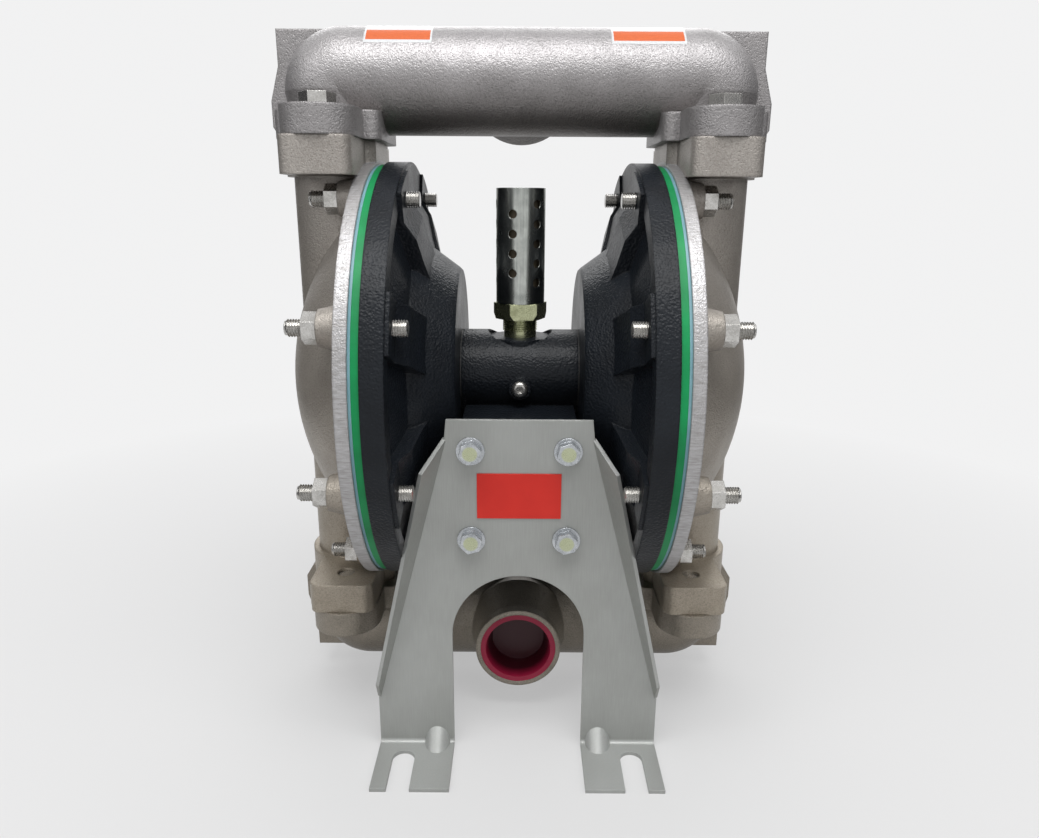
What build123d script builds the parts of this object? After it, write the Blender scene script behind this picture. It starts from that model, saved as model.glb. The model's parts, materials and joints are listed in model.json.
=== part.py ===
"""Air operated double diaphragm pump, cast metal, with stamped legs and a perforated silencer.

Millimetres. The origin is on the floor under the middle of the pump. +X runs along the diaphragm
shaft to the right hand chamber, +Y runs from the inlet side to the outlet side, +Z is up.
The right hand side is modelled and mirrored in the YZ plane to make the left hand side.
"""
from build123d import *
import math
import os

os.makedirs("parts", exist_ok=True)

# ---------------------------------------------------------------- driving dimensions
# Stance
AXIS_Z = 287.0              # diaphragm shaft above the floor
MANIFOLD_RISE = 225.0       # shaft to the axis of either manifold tube

# Lengths along the shaft, from the middle outwards
BODY_HALF = 47.0            # centre body, half its length
CAP_GASKET_T = 1.0          # gasket between centre body and air cap
AIR_CAP_DEPTH = 54.0        # air cap, back face to clamping face
AIR_RIM_T = 16.0            # air cap clamping rim
AIR_RIM_W = 15.0            # radial width of the thick part of that rim
DIAPHRAGM_T = 5.5           # rubber diaphragm
OVERLAY_T = 2.0             # PTFE overlay on the wetted side
FLUID_RIM_T = 9.0           # fluid cap clamping rim
DOME_DEPTH = 73.0           # fluid cap, clamping face to the crown of its dome
COLUMN_OFFSET = 32.5        # fluid cap, clamping face to the axis of its flow column

# Radii about the shaft axis
RIM_R = 167.0               # both clamping rims
DIAPHRAGM_R = 165.0         # diaphragm and overlay
CLAMP_R = 132.0             # inner edge of the clamped ring
DOME_R = 139.0              # foot of the fluid cap dome
HUB_R = 84.0                # flat back of the air cap
DISH = ((97.0, 37.0), (108.0, 22.0), (148.0, 10.0))   # air cap wall: radius, rise off the rim face
WALL = 7.0                  # casting walls of both caps

# Clamping studs
STUD_COUNT = 8
STUD_PCD_R = 150.0
STUD_R = 6.0                # M12
STUD_CLEAR = 0.5
STUD_INNER_PROUD = 10.0     # thread showing past the air cap boss
STUD_OUTER_PROUD = 12.0     # thread showing past the nut
NUT_AF = 19.0
NUT_T = 10.0
AIR_BOSS_T = 19.0           # clamping face to the top of an air cap boss
FLUID_BOSS_R = 12.5
FLUID_BOSS_H = 12.5         # boss above the fluid rim
BOSS_DRAFT = 4.0            # growth of the boss radius at its foot
RIB_T = 42.0                # air cap stud pad, width
RIB_CREST = ((92.0, 36.0), (110.0, 31.0), (128.0, 27.0), (141.0, 19.0))   # crest of a pad: radius, rise
PAD_INSET = 2.0             # pads stop short of the edge of the rim
BRIDGE_DROP = 2.0           # web between the two top or bottom pads, below their crest

# Manifolds
TUBE_R = 38.5
LEG_OUTER_R = 36.0          # manifold leg where it meets the flange
BORE_R = 28.0
BEND_R = 9.0                # centreline of the elbow
FLANGE_T = 20.0
FLANGE_HALF_X = 39.0
FLANGE_HALF_Y = 42.0
LUG_HALF = 27.0
BOLT_Y = 62.0               # manifold bolts, each side of the column axis
FLANGE_DROP = 44.0          # tube axis to the joint face of the flange
PAD_T = 28.0                # squared shoulder cast on the outlet side of each elbow
PAD_X = 44.0                # column axis to the side of the shoulder
PAD_LIP_X = 51.0            # column axis to the lip of the shoulder
PAD_RISE = 37.0             # tube axis to the end of the shoulder
PAD_STEP = 11.0             # tube axis to where the shoulder starts to flare
PAD_LIP = 14.0              # tube axis back to where the flare ends
PAD_LIP_END = 33.0          # tube axis back to the end of the lip
NECK_R = 43.3               # port neck at its widest
NECK_BORE_R = 24.0
NECK_WIDE_Y = 26.0
NECK_END_Y = 57.0
PORT_R = 35.5
PORT_FACE_Y = 66.0
PORT_THREAD_R = 28.2        # 2 in taper pipe thread, tapping size
PORT_THREAD_L = 24.0
PORT_MOUTH_R = 31.5
PORT_MOUTH_D = 4.0
BOLT_R = 7.0                # M14
BOLT_AF = 22.0
BOLT_HEAD_T = 8.8
BOLT_CLEAR = 0.6
OUTLET_BOLT_GRIP = 20.0     # thread in the fluid cap, top joint
INLET_BOLT_GRIP = 22.0      # thread in the fluid cap, bottom joint

# Fluid cap blocks at the joint faces
COLUMN_R = 36.0
BLOCK_HALF_X = 25.5
BLOCK_HALF_Y = 86.0
BLOCK_CORNER = 9.0
TOP_BLOCK_T = 26.0
FOOT_BLOCK_T = 24.0
COLLAR_R = 41.0

# Check valves
BALL_R = 23.0
BALL_LIFT = 12.0
BALL_GAP = 0.3
SEAT_R = 31.0
SEAT_BORE_R = 15.0
SEAT_T = 11.0
SEAT_CHAMFER = 4.0
SEAT_CLEAR = 0.15
SEAT_SEAL_T = 2.5
SEAT_SEAL_W = 2.6
STOP_R = 5.0
STOP_GAP = 0.5

# Shaft and its clamped plates
SHAFT_R = 9.5
RUNNING = 0.05              # radial clearance of a running fit
STROKE_HALF = 17.0
PLATE_GAP = 0.3             # plate to diaphragm face
INNER_PLATE_R = 76.0
INNER_PLATE_T = 10.0
OUTER_PLATE_R = 72.0
OUTER_PLATE_T = 12.0
SHAFT_BOLT_R = 8.0          # M16
SHAFT_BOLT_AF = 24.0
SHAFT_BOLT_HEAD = 10.0
SHAFT_BOLT_GRIP = 24.0
CONVOLUTION_R = 105.0
CONVOLUTION_HALF = 20.0
CONVOLUTION_RISE = 12.0

# Centre body
BARREL_R = 35.0
VALVE_DROP = 71.0           # shaft axis down to the main valve axis
BLOCK_X = 44.0
BLOCK_Z = 48.0
BLOCK_Y = 90.0
VALVE_BORE_R = 20.0
EXHAUST_R = 25.0
EXHAUST_RISE = 30.0         # shaft axis to the top of the exhaust boss
SPOT_MARGIN = 1.5           # spot face beyond the boss
EXHAUST_THREAD_R = 13.35    # 3/4 in taper pipe thread
EXHAUST_THREAD_L = 14.0
AIR_IN_RISE = 9.0
AIR_IN_R = 17.0
AIR_IN_Y = 58.0
AIR_IN_THREAD_R = 9.25      # 1/2 in taper pipe thread, tapping size
AIR_IN_THREAD_L = 18.0
BUSH_R = 14.0
BUSH_L = 16.0
CUP_R = 13.0
CUP_T = 5.0
CAP_SCREW_PCD_R = 25.5
CAP_SCREW_R = 4.0
CAP_SCREW_HEAD_R = 6.5
CAP_SCREW_HEAD_T = 7.0
CAP_SCREW_GRIP = 15.0
CAP_SCREWS = 4
PILOT_DROP = 24.5           # shaft axis down to the pilot rod
PILOT_R = 5.0
PILOT_TRAVEL = 4.0          # each way
PILOT_GAP = 0.3             # pilot rod to plate at the end of the stroke
PILOT_SLEEVE_R = 7.5
PILOT_SLEEVE_L = 20.0
PLUG_SCREW_R = 4.0
PLUG_SCREW_HEAD_R = 6.5
PLUG_SCREW_HEAD_T = 4.5
PLUG_SCREW_DROP = 7.0
PLUG_PAD_R = 9.0
PLUG_PAD_Y = 38.0

# Main valve
SLEEVE_WALL = 4.0
SPOOL_TRAVEL = 14.0
SPOOL_STEM_R = 9.0
SPOOL_LAND_T = 16.0
SPOOL_END_GAP = 1.0
COVER_T = 14.0
COVER_GASKET_T = 1.0
COVER_SPIGOT = 6.0

# Legs
LEG_T = 3.0
LEG_BEND_R = 3.0
LEG_TOP = 13.0              # shaft axis down to the top edge
LEG_TOP_HALF = 53.0
LEG_SHOULDER = 27.0         # shaft axis down to the top of the sloping edge
LEG_SHOULDER_HALF = 54.5
LEG_FOOT_HALF = 110.5
LEG_KNEE_Z = 44.0
LEG_ARCH_R = 51.0
LEG_ARCH_Z = 100.0
LEG_TOE_Y = 161.0
SIDE_DEPTH = 25.0           # flange at its top
SIDE_END_DEPTH = 11.0       # flange where it is cut off at the knee
SIDE_FLARE = 27.0           # degrees
SIDE_TAPER = 14.0
SIDE_TOP_CUT = 24.0
FOOT_SLOT_X = 89.5
FOOT_SLOT_W = 17.5
FOOT_SLOT_Y = 128.0
DART_X = 64.5
DART_R = 10.0
DART_RISE = 15.0
LEG_BOLT_X = 35.5
LEG_BOLT_Z = 34.8
LEG_BOLT_R = 5.0            # M10
LEG_BOLT_CLEAR = 0.5
LEG_BOLT_AF = 15.0
LEG_BOLT_FLANGE_R = 10.5
LEG_BOLT_FLANGE_T = 1.8
LEG_BOLT_HEAD_T = 8.5
LEG_BOLT_GRIP = 18.0
NAME_PLATE_X = 62.0
NAME_PLATE_Z = 35.0
NAME_PLATE_T = 0.8

# Silencer
SILENCER_R = 19.8
SILENCER_WALL = 1.5
SILENCER_L = 90.0
SILENCER_HEX_AF = 38.0
SILENCER_HEX_T = 13.0
SILENCER_NECK = 15.0        # thread showing between the boss and the hexagon
SILENCER_THREAD_BORE = 9.5
SILENCER_SEAT = 6.0         # tube seated over the spigot of the hexagon
SILENCER_CAP_T = 3.0
HOLE_R = 3.4
HOLE_COLUMNS = 6
HOLE_PITCH = 15.2
HOLE_ROWS = 5
HOLE_FIRST = 17.0
ELEMENT_WALL = 2.5
ELEMENT_GAP = 1.5

# Shipping plug in the inlet port
PLUG_FIT = 0.05             # radial gap between plug and port
PLUG_SHELL_T = 2.0
PLUG_TAPER = 3.0
PLUG_DEPTH = 22.0

# ---------------------------------------------------------------- worked out places
AIR_BACK = BODY_HALF + CAP_GASKET_T
CLAMP_X = AIR_BACK + AIR_CAP_DEPTH
OVERLAY_X = CLAMP_X + DIAPHRAGM_T
FLUID_X = OVERLAY_X + OVERLAY_T
RIM_X = FLUID_X + FLUID_RIM_T
COLUMN_X = FLUID_X + COLUMN_OFFSET
CROWN_X = FLUID_X + DOME_DEPTH
NUT_X = RIM_X + FLUID_BOSS_H
STUD_END_X = NUT_X + NUT_T + STUD_OUTER_PROUD
AIR_BOSS_X = CLAMP_X - AIR_BOSS_T
STUD_START_X = AIR_BOSS_X - STUD_INNER_PROUD
OUTLET_Z = AXIS_Z + MANIFOLD_RISE
INLET_Z = AXIS_Z - MANIFOLD_RISE
JOINT_RISE = MANIFOLD_RISE - FLANGE_DROP      # shaft axis to either joint face
TOP_JOINT_Z = AXIS_Z + JOINT_RISE
FOOT_JOINT_Z = AXIS_Z - JOINT_RISE
VALVE_Z = AXIS_Z - VALVE_DROP
COVER_Y = BLOCK_Y + COVER_GASKET_T
LEG_Y = COVER_Y + COVER_T                     # back face of the leg plate
LEG_FACE_Y = LEG_Y + LEG_T
SEAT_DEPTH = SEAT_T + SEAT_SEAL_T
BALL_RISE = math.sqrt(2) * (BALL_R + BALL_GAP) - SEAT_CHAMFER - SEAT_BORE_R
PLATE_IN_X = CLAMP_X - PLATE_GAP - INNER_PLATE_T
PLATE_OUT_X = FLUID_X + PLATE_GAP
PILOT_HALF = PLATE_IN_X - STROKE_HALF - PILOT_GAP + PILOT_TRAVEL
EXHAUST_TOP_Z = AXIS_Z + EXHAUST_RISE
SILENCER_HEX_Z = EXHAUST_TOP_Z + SILENCER_NECK
SILENCER_TUBE_Z = SILENCER_HEX_Z + SILENCER_HEX_T

X_AXIS_LINE = Axis((0, 0, AXIS_Z), (1, 0, 0))
STUD_ANGLES = [360.0 / STUD_COUNT * (i + 0.5) for i in range(STUD_COUNT)]


# ---------------------------------------------------------------- helpers
def rod_x(radius, x0, x1, y=0.0, z=0.0):
    """A round bar along X from x0 to x1."""
    return Pos((x0 + x1) / 2, y, z) * Rot(0, 90, 0) * Cylinder(radius, abs(x1 - x0))


def rod_y(radius, y0, y1, x=0.0, z=0.0):
    """A round bar along Y from y0 to y1."""
    return Pos(x, (y0 + y1) / 2, z) * Rot(90, 0, 0) * Cylinder(radius, abs(y1 - y0))


def rod_z(radius, z0, z1, x=0.0, y=0.0):
    """A round bar along Z from z0 to z1."""
    return Pos(x, y, (z0 + z1) / 2) * Cylinder(radius, abs(z1 - z0))


def taper_z(low_r, high_r, z0, z1, x=0.0):
    """A round bar along Z whose radius runs from low_r at z0 to high_r at z1."""
    outline = Polyline((0, z0), (low_r, z0), (high_r, z1), (0, z1), (0, z0))
    return Pos(x, 0, 0) * revolve(make_face(Plane.XZ * outline), Axis.Z)


def block(x0, x1, y0, y1, z0, z1):
    """A box given by its faces."""
    middle = Pos((x0 + x1) / 2, (y0 + y1) / 2, (z0 + z1) / 2)
    return middle * Box(abs(x1 - x0), abs(y1 - y0), abs(z1 - z0))


def hex_bar(across_flats, length):
    """A hexagon bar standing on the XY plane."""
    return extrude(RegularPolygon(across_flats / 2, 6, major_radius=False), length)


def round_shaft_axis(lines):
    """Turn a closed outline, drawn as (x, radius) in the XZ plane, about the shaft axis."""
    face = make_face(Plane.XZ * Pos(0, AXIS_Z) * lines)
    return revolve(face, X_AXIS_LINE)


def stud_places(radius=STUD_PCD_R):
    """(y, z) of each clamping stud."""
    return [
        (radius * math.cos(math.radians(a)), AXIS_Z + radius * math.sin(math.radians(a)))
        for a in STUD_ANGLES
    ]


def each_side(part):
    """A right hand part and its mirror image on the left."""
    return part, mirror(part, about=Plane.YZ)


def save(name, *solids):
    """Write one node, a single piece or a group of like pieces."""
    shape = solids[0] if len(solids) == 1 else Compound(children=list(solids))
    shape.label = name
    export_step(shape, "parts/" + name + ".step")


# ---------------------------------------------------------------- caps
def air_cap():
    """Right hand air cap: a dish with a clamping rim, stud bosses and radial ribs."""
    wall = [(CLAMP_X - rise, radius) for radius, rise in DISH]
    thick_r = RIM_R - AIR_RIM_W
    back = [(CLAMP_X - DISH[-1][1], thick_r - 2), (CLAMP_X - AIR_RIM_T, thick_r)]
    outer = Polyline(
        (AIR_BACK, 0), (AIR_BACK, HUB_R), (AIR_BACK + 2, HUB_R + 2), *wall, *back,
        (CLAMP_X - AIR_RIM_T, RIM_R), (CLAMP_X, RIM_R), (CLAMP_X, 0), (AIR_BACK, 0),
    )
    cap = round_shaft_axis(outer)
    for angle in STUD_ANGLES:
        cap += Pos(0, 0, AXIS_Z) * Rot(angle, 0, 0) * air_cap_rib()
    for turn in (0, 180):
        cap += Pos(0, 0, AXIS_Z) * Rot(turn, 0, 0) * air_cap_bridge()
    floor_x = AIR_BACK + WALL + 2
    inside = [(x + WALL * 0.84, radius - WALL * 0.54) for x, radius in wall[:2]]
    cavity = Polyline(
        (floor_x, 0), (floor_x, HUB_R - WALL * 0.7), *inside,
        (CLAMP_X - DISH[-1][1] + 1, CLAMP_R), (CLAMP_X, CLAMP_R), (CLAMP_X, 0), (floor_x, 0),
    )
    cap -= round_shaft_axis(cavity)
    cap -= rod_x(BUSH_R, AIR_BACK, CLAMP_X, z=AXIS_Z)
    cap -= rod_x(PILOT_R + 1, AIR_BACK, CLAMP_X, z=AXIS_Z - PILOT_DROP)
    for y, z in cap_screw_places():
        cap -= rod_x(CAP_SCREW_R + 0.3, AIR_BACK, CLAMP_X, y, z)
    for y, z in stud_places():
        cap -= rod_x(STUD_R, AIR_BOSS_X - 1, CLAMP_X, y, z)
    return cap


def crest_outline(drop):
    """Closed outline of a stud pad as (radius, distance along the shaft), its crest lowered by drop."""
    crest = [(radius, CLAMP_X - rise + drop) for radius, rise in RIB_CREST]
    core = [(radius - WALL * 0.38, CLAMP_X - rise + WALL * 0.6) for radius, rise in reversed(DISH)]
    outer_r = RIM_R - PAD_INSET
    end = [(outer_r, AIR_BOSS_X + drop), (outer_r, core[0][1])]
    return [*crest, *end, *core, crest[0]]


def air_cap_rib():
    """One stud pad that runs from the rim to the hub, along +Y from the shaft axis."""
    side = Polyline(*crest_outline(0))
    pad = extrude(make_face(Plane.YX * side), RIB_T / 2, both=True)
    return pad & rod_x(RIM_R - PAD_INSET, AIR_BACK, CLAMP_X)


def air_cap_bridge():
    """Web that joins the two stud pads at the top of the air cap."""
    outline = Polyline(*[(x, radius) for radius, x in crest_outline(BRIDGE_DROP)])
    step = 360 / STUD_COUNT
    return Rot(-step / 2, 0, 0) * revolve(make_face(Plane.XZ * outline), Axis.X, step)


def dome_outline(base_x, base_r, crown_x):
    """Outline of a dome on the shaft axis: base ring, arc over to the crown, back along the axis."""
    rise = crown_x - base_x
    ball = (base_r ** 2 + rise ** 2) / (2 * rise)
    middle = math.asin(base_r / ball) / 2
    over = (crown_x - ball * (1 - math.cos(middle)), ball * math.sin(middle))
    arc = ThreePointArc((base_x, base_r), over, (crown_x, 0))
    return Curve() + [Polyline((crown_x, 0), (base_x, 0), (base_x, base_r)), arc]


def joint_block(z0, z1):
    """The squared casting block that carries a manifold joint face."""
    base = Rectangle(2 * BLOCK_HALF_X, 2 * BLOCK_HALF_Y)
    plan = fillet(base.vertices(), BLOCK_CORNER)
    return Pos(COLUMN_X, 0, z0) * extrude(plan, z1 - z0)


def fluid_cap():
    """Right hand fluid cap: rim, dome and a flow column with a joint block at each end."""
    cap = rod_x(RIM_R, FLUID_X, RIM_X, z=AXIS_Z)
    cap += round_shaft_axis(dome_outline(RIM_X - 1, DOME_R, CROWN_X))
    cap += rod_z(COLUMN_R, FOOT_JOINT_Z, TOP_JOINT_Z, x=COLUMN_X)
    cap += rod_z(COLLAR_R, TOP_JOINT_Z - TOP_BLOCK_T, TOP_JOINT_Z, x=COLUMN_X)
    cap += rod_z(COLLAR_R, FOOT_JOINT_Z, FOOT_JOINT_Z + FOOT_BLOCK_T, x=COLUMN_X)
    cap += joint_block(TOP_JOINT_Z - TOP_BLOCK_T, TOP_JOINT_Z)
    cap += joint_block(FOOT_JOINT_Z, FOOT_JOINT_Z + FOOT_BLOCK_T)
    for y, z in stud_places():
        foot = FLUID_BOSS_H + FLUID_RIM_T / 2
        cone = Rot(0, 90, 0) * Cone(FLUID_BOSS_R + BOSS_DRAFT, FLUID_BOSS_R, foot)
        cap += Pos(NUT_X - foot / 2, y, z) * cone
    for y, z in stud_places():
        cap -= rod_x(NUT_AF * 0.62, NUT_X, STUD_END_X + 4, y, z)
    cap -= block(0, FLUID_X, -BLOCK_HALF_Y * 2, BLOCK_HALF_Y * 2, 0, 2 * AXIS_Z)
    cap -= round_shaft_axis(dome_outline(FLUID_X, CLAMP_R, CROWN_X - WALL))
    cap -= rod_z(BORE_R, FOOT_JOINT_Z, TOP_JOINT_Z, x=COLUMN_X)
    stop_z = FOOT_JOINT_Z + BALL_RISE + BALL_LIFT + BALL_R + STOP_GAP + STOP_R
    cap += rod_y(STOP_R, -BORE_R - 2, BORE_R + 2, x=COLUMN_X, z=stop_z)
    cap -= rod_z(SEAT_R + SEAT_CLEAR, TOP_JOINT_Z - SEAT_DEPTH, TOP_JOINT_Z, x=COLUMN_X)
    for y, z in stud_places():
        cap -= rod_x(STUD_R + STUD_CLEAR, FLUID_X, NUT_X, y, z)
    for y in (-BOLT_Y, BOLT_Y):
        cap -= rod_z(BOLT_R, TOP_JOINT_Z - OUTLET_BOLT_GRIP - 1, TOP_JOINT_Z, COLUMN_X, y)
        cap -= rod_z(BOLT_R, FOOT_JOINT_Z, FOOT_JOINT_Z + FOOT_BLOCK_T, COLUMN_X, y)
    return cap


# ---------------------------------------------------------------- diaphragms
def diaphragm_layer(x0, x1):
    """One flexible layer between x0 and x1, flat at rim and middle with a rolled convolution."""
    def roll(x):
        start = (x, CONVOLUTION_R + CONVOLUTION_HALF)
        top = (x + CONVOLUTION_RISE, CONVOLUTION_R)
        return start, top, (x, CONVOLUTION_R - CONVOLUTION_HALF)

    outer, inner = roll(x1), roll(x0)
    lines = Curve() + [
        Line((x0, DIAPHRAGM_R), (x1, DIAPHRAGM_R)),
        Line((x1, DIAPHRAGM_R), outer[0]),
        ThreePointArc(*outer),
        Polyline(outer[2], (x1, SHAFT_BOLT_R), (x0, SHAFT_BOLT_R), inner[2]),
        ThreePointArc(inner[2], inner[1], inner[0]),
        Line(inner[0], (x0, DIAPHRAGM_R)),
    ]
    layer = round_shaft_axis(lines)
    for y, z in stud_places():
        layer -= rod_x(STUD_R + STUD_CLEAR, x0, x1, y, z)
    layer -= rod_x(SHAFT_BOLT_R + PLATE_GAP, x0, x1, z=AXIS_Z)
    return layer


# ---------------------------------------------------------------- manifolds
def elbow(radius, bend):
    """Quarter bend from the tube to the flange leg; the section is cut off at the bend's centre."""
    centre = (COLUMN_X - bend, 0, OUTLET_Z - bend)
    section = Circle(radius) & Pos(radius / 2 - bend / 2, 0) * Rectangle(radius + bend, 2 * radius)
    place = Plane(origin=centre, x_dir=(1, 0, 0), z_dir=(0, 0, 1))
    face = place * Pos(bend, 0) * section
    return revolve(face, Axis(centre, (0, -1, 0)), 90)


def manifold_run(radius, leg_radius):
    """Tube and both elbows with their legs, narrowing to leg_radius at the joint."""
    end = COLUMN_X - BEND_R
    run = rod_x(radius, -end, end, z=OUTLET_Z)
    top = OUTLET_Z - BEND_R
    leg = elbow(radius, BEND_R)
    leg += taper_z(leg_radius, radius, TOP_JOINT_Z + FLANGE_T, top, COLUMN_X)
    leg += rod_z(leg_radius, TOP_JOINT_Z, TOP_JOINT_Z + FLANGE_T, x=COLUMN_X)
    for side in each_side(leg):
        run += side
    return run


def flange_plate():
    """Joint flange: a wide middle round the column and a rounded lug at each bolt."""
    middle = Rectangle(2 * FLANGE_HALF_X, 2 * FLANGE_HALF_Y)
    middle = fillet(middle.vertices(), BLOCK_CORNER)
    plan = middle + Rot(0, 0, 90) * SlotCenterToCenter(2 * BOLT_Y, 2 * LUG_HALF)
    return Pos(COLUMN_X, 0, TOP_JOINT_Z) * extrude(plan, FLANGE_T)


def shoulder():
    """Squared shoulder cast behind the elbow, flaring to a lip beside the flange."""
    top = FLANGE_DROP + PAD_RISE
    lip = FLANGE_DROP - PAD_LIP
    low = FLANGE_DROP - PAD_LIP_END
    side = Polyline(
        (-TUBE_R, top), (PAD_X, top), (PAD_X, FLANGE_DROP + PAD_STEP), (PAD_LIP_X, lip),
        (PAD_LIP_X, low), (PAD_X, 0), (0, 0), (0, FLANGE_DROP), (-TUBE_R, top),
    )
    face = make_face(Plane.XZ * side)
    body = extrude(face, PAD_T, dir=(0, 1, 0))
    return Pos(COLUMN_X, 0, TOP_JOINT_Z) * body


def manifold(port_sign):
    """Outlet level manifold with its port neck on the side given by port_sign along Y."""
    part = manifold_run(TUBE_R, LEG_OUTER_R)
    end = flange_plate() + shoulder()
    for side in each_side(end):
        part += side
    face_y = port_sign * PORT_FACE_Y
    thread_y = port_sign * (PORT_FACE_Y - PORT_THREAD_L)
    mouth_y = port_sign * (PORT_FACE_Y - PORT_MOUTH_D)
    outline = Polyline(
        (0, 0), (PORT_R, 0), (NECK_R, port_sign * NECK_WIDE_Y), (PORT_R, port_sign * NECK_END_Y),
        (PORT_R, face_y), (0, face_y), (0, 0),
    )
    part += Pos(0, 0, OUTLET_Z) * revolve(make_face(outline), Axis.Y)
    part -= manifold_run(BORE_R, BORE_R)
    part -= rod_y(NECK_BORE_R, 0, thread_y, z=OUTLET_Z)
    part -= rod_y(PORT_THREAD_R, thread_y, face_y, z=OUTLET_Z)
    part -= rod_y(PORT_MOUTH_R, mouth_y, face_y, z=OUTLET_Z)
    head_z = TOP_JOINT_Z + FLANGE_T
    for x in (-COLUMN_X, COLUMN_X):
        for y in (-BOLT_Y, BOLT_Y):
            part -= rod_z(BOLT_R + BOLT_CLEAR, TOP_JOINT_Z, head_z, x, y)
            part -= rod_z(BOLT_AF * 0.62, head_z, head_z + BOLT_HEAD_T + 14, x, y)
    return part


def outlet_manifold():
    """Top manifold, with a stop over each ball."""
    part = manifold(1)
    stop_z = TOP_JOINT_Z + BALL_RISE + BALL_LIFT + BALL_R + STOP_GAP + STOP_R
    for x in (-COLUMN_X, COLUMN_X):
        part += rod_y(STOP_R, -BORE_R - 2, BORE_R + 2, x=x, z=stop_z)
    return part


def inlet_manifold():
    """Bottom manifold, with a recess for each ball seat."""
    part = mirror(manifold(-1), about=Plane.XY.offset(AXIS_Z))
    for x in (-COLUMN_X, COLUMN_X):
        part -= rod_z(SEAT_R + SEAT_CLEAR, FOOT_JOINT_Z - SEAT_DEPTH, FOOT_JOINT_Z, x=x)
    return part


def hex_bolt(radius, across_flats, head, length):
    """Hexagon bolt along -Z, with its head standing on the XY plane."""
    return hex_bar(across_flats, head) + rod_z(radius, -length, 0)


def manifold_bolts(seat_z, grip, turned):
    """Four bolts through the flanges; turned puts the heads underneath."""
    bolts = []
    for x in (-COLUMN_X, COLUMN_X):
        for y in (-BOLT_Y, BOLT_Y):
            bolt = hex_bolt(BOLT_R, BOLT_AF, BOLT_HEAD_T, FLANGE_T + grip)
            bolt = Rot(180 if turned else 0, 0, 0) * Rot(0, 0, 12) * bolt
            bolts.append(Pos(x, y, seat_z) * bolt)
    return bolts


# ---------------------------------------------------------------- check valves
def ball_seat(top_z):
    """Seat ring with a chamfered mouth, its top face at top_z."""
    seat = rod_z(SEAT_R, top_z - SEAT_T, top_z, x=COLUMN_X)
    seat -= rod_z(SEAT_BORE_R, top_z - SEAT_T, top_z, x=COLUMN_X)
    mouth = Cone(SEAT_BORE_R, SEAT_BORE_R + SEAT_CHAMFER, SEAT_CHAMFER)
    return seat - Pos(COLUMN_X, 0, top_z - SEAT_CHAMFER / 2) * mouth


def seat_seal(top_z):
    """Flat seal ring under a ball seat."""
    low = top_z - SEAT_DEPTH
    ring = rod_z(SEAT_R, low, low + SEAT_SEAL_T, x=COLUMN_X)
    return ring - rod_z(SEAT_R - SEAT_SEAL_W, low, low + SEAT_SEAL_T, x=COLUMN_X)


# ---------------------------------------------------------------- centre body
def cap_screw_places():
    """(y, z) of the screws that hold an air cap to the centre body."""
    return [
        (
            CAP_SCREW_PCD_R * math.cos(math.radians(45 + 360 / CAP_SCREWS * i)),
            AXIS_Z + CAP_SCREW_PCD_R * math.sin(math.radians(45 + 360 / CAP_SCREWS * i)),
        )
        for i in range(CAP_SCREWS)
    ]


def leg_bolt_places():
    """(x, z) of the bolts that hold a leg and a valve cover."""
    return [
        (x, VALVE_Z + z)
        for x in (-LEG_BOLT_X, LEG_BOLT_X)
        for z in (-LEG_BOLT_Z, LEG_BOLT_Z)
    ]


def centre_body():
    """Air motor casting: shaft barrel, valve block, exhaust boss and air inlet boss."""
    body = rod_x(BARREL_R, -BODY_HALF, BODY_HALF, z=AXIS_Z)
    body += block(-BLOCK_X, BLOCK_X, -BLOCK_Y, BLOCK_Y, VALVE_Z - BLOCK_Z, VALVE_Z + BLOCK_Z)
    body += rod_z(EXHAUST_R, AXIS_Z, EXHAUST_TOP_Z)
    body += rod_y(AIR_IN_R, 0, AIR_IN_Y, z=AXIS_Z + AIR_IN_RISE)
    body += rod_y(PLUG_PAD_R, -PLUG_PAD_Y, 0, z=AXIS_Z - PLUG_SCREW_DROP)
    body -= rod_x(SHAFT_R + RUNNING, -BODY_HALF, BODY_HALF, z=AXIS_Z)
    for sign in (-1, 1):
        body -= rod_x(BUSH_R, sign * (BODY_HALF - BUSH_L), sign * BODY_HALF, z=AXIS_Z)
        cup_x = BODY_HALF - BUSH_L
        body -= rod_x(CUP_R, sign * (cup_x - CUP_T), sign * cup_x, z=AXIS_Z)
        sleeve_x = BODY_HALF - PILOT_SLEEVE_L
        body -= rod_x(PILOT_SLEEVE_R, sign * sleeve_x, sign * BODY_HALF, z=AXIS_Z - PILOT_DROP)
        for y, z in cap_screw_places():
            screw_x = BODY_HALF - CAP_SCREW_GRIP - 1
            body -= rod_x(CAP_SCREW_R, sign * screw_x, sign * BODY_HALF, y, z)
        for x, z in leg_bolt_places():
            bolt_y = BLOCK_Y - LEG_BOLT_GRIP - 1
            body -= rod_y(LEG_BOLT_R, sign * bolt_y, sign * BLOCK_Y, x, z)
    body -= rod_x(PILOT_R + RUNNING, -BODY_HALF, BODY_HALF, z=AXIS_Z - PILOT_DROP)
    body -= rod_y(VALVE_BORE_R, -BLOCK_Y, BLOCK_Y, z=VALVE_Z)
    body -= rod_z(EXHAUST_R + SPOT_MARGIN, EXHAUST_TOP_Z, AXIS_Z + BARREL_R + 1)
    body -= rod_z(EXHAUST_THREAD_R, EXHAUST_TOP_Z - EXHAUST_THREAD_L, EXHAUST_TOP_Z)
    air_y = AIR_IN_Y - AIR_IN_THREAD_L
    body -= rod_y(AIR_IN_THREAD_R, air_y, AIR_IN_Y, z=AXIS_Z + AIR_IN_RISE)
    screw_y = PLUG_PAD_Y - PLUG_SCREW_HEAD_T * 3
    body -= rod_y(PLUG_SCREW_R, -PLUG_PAD_Y, -screw_y, z=AXIS_Z - PLUG_SCREW_DROP)
    return body


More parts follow.
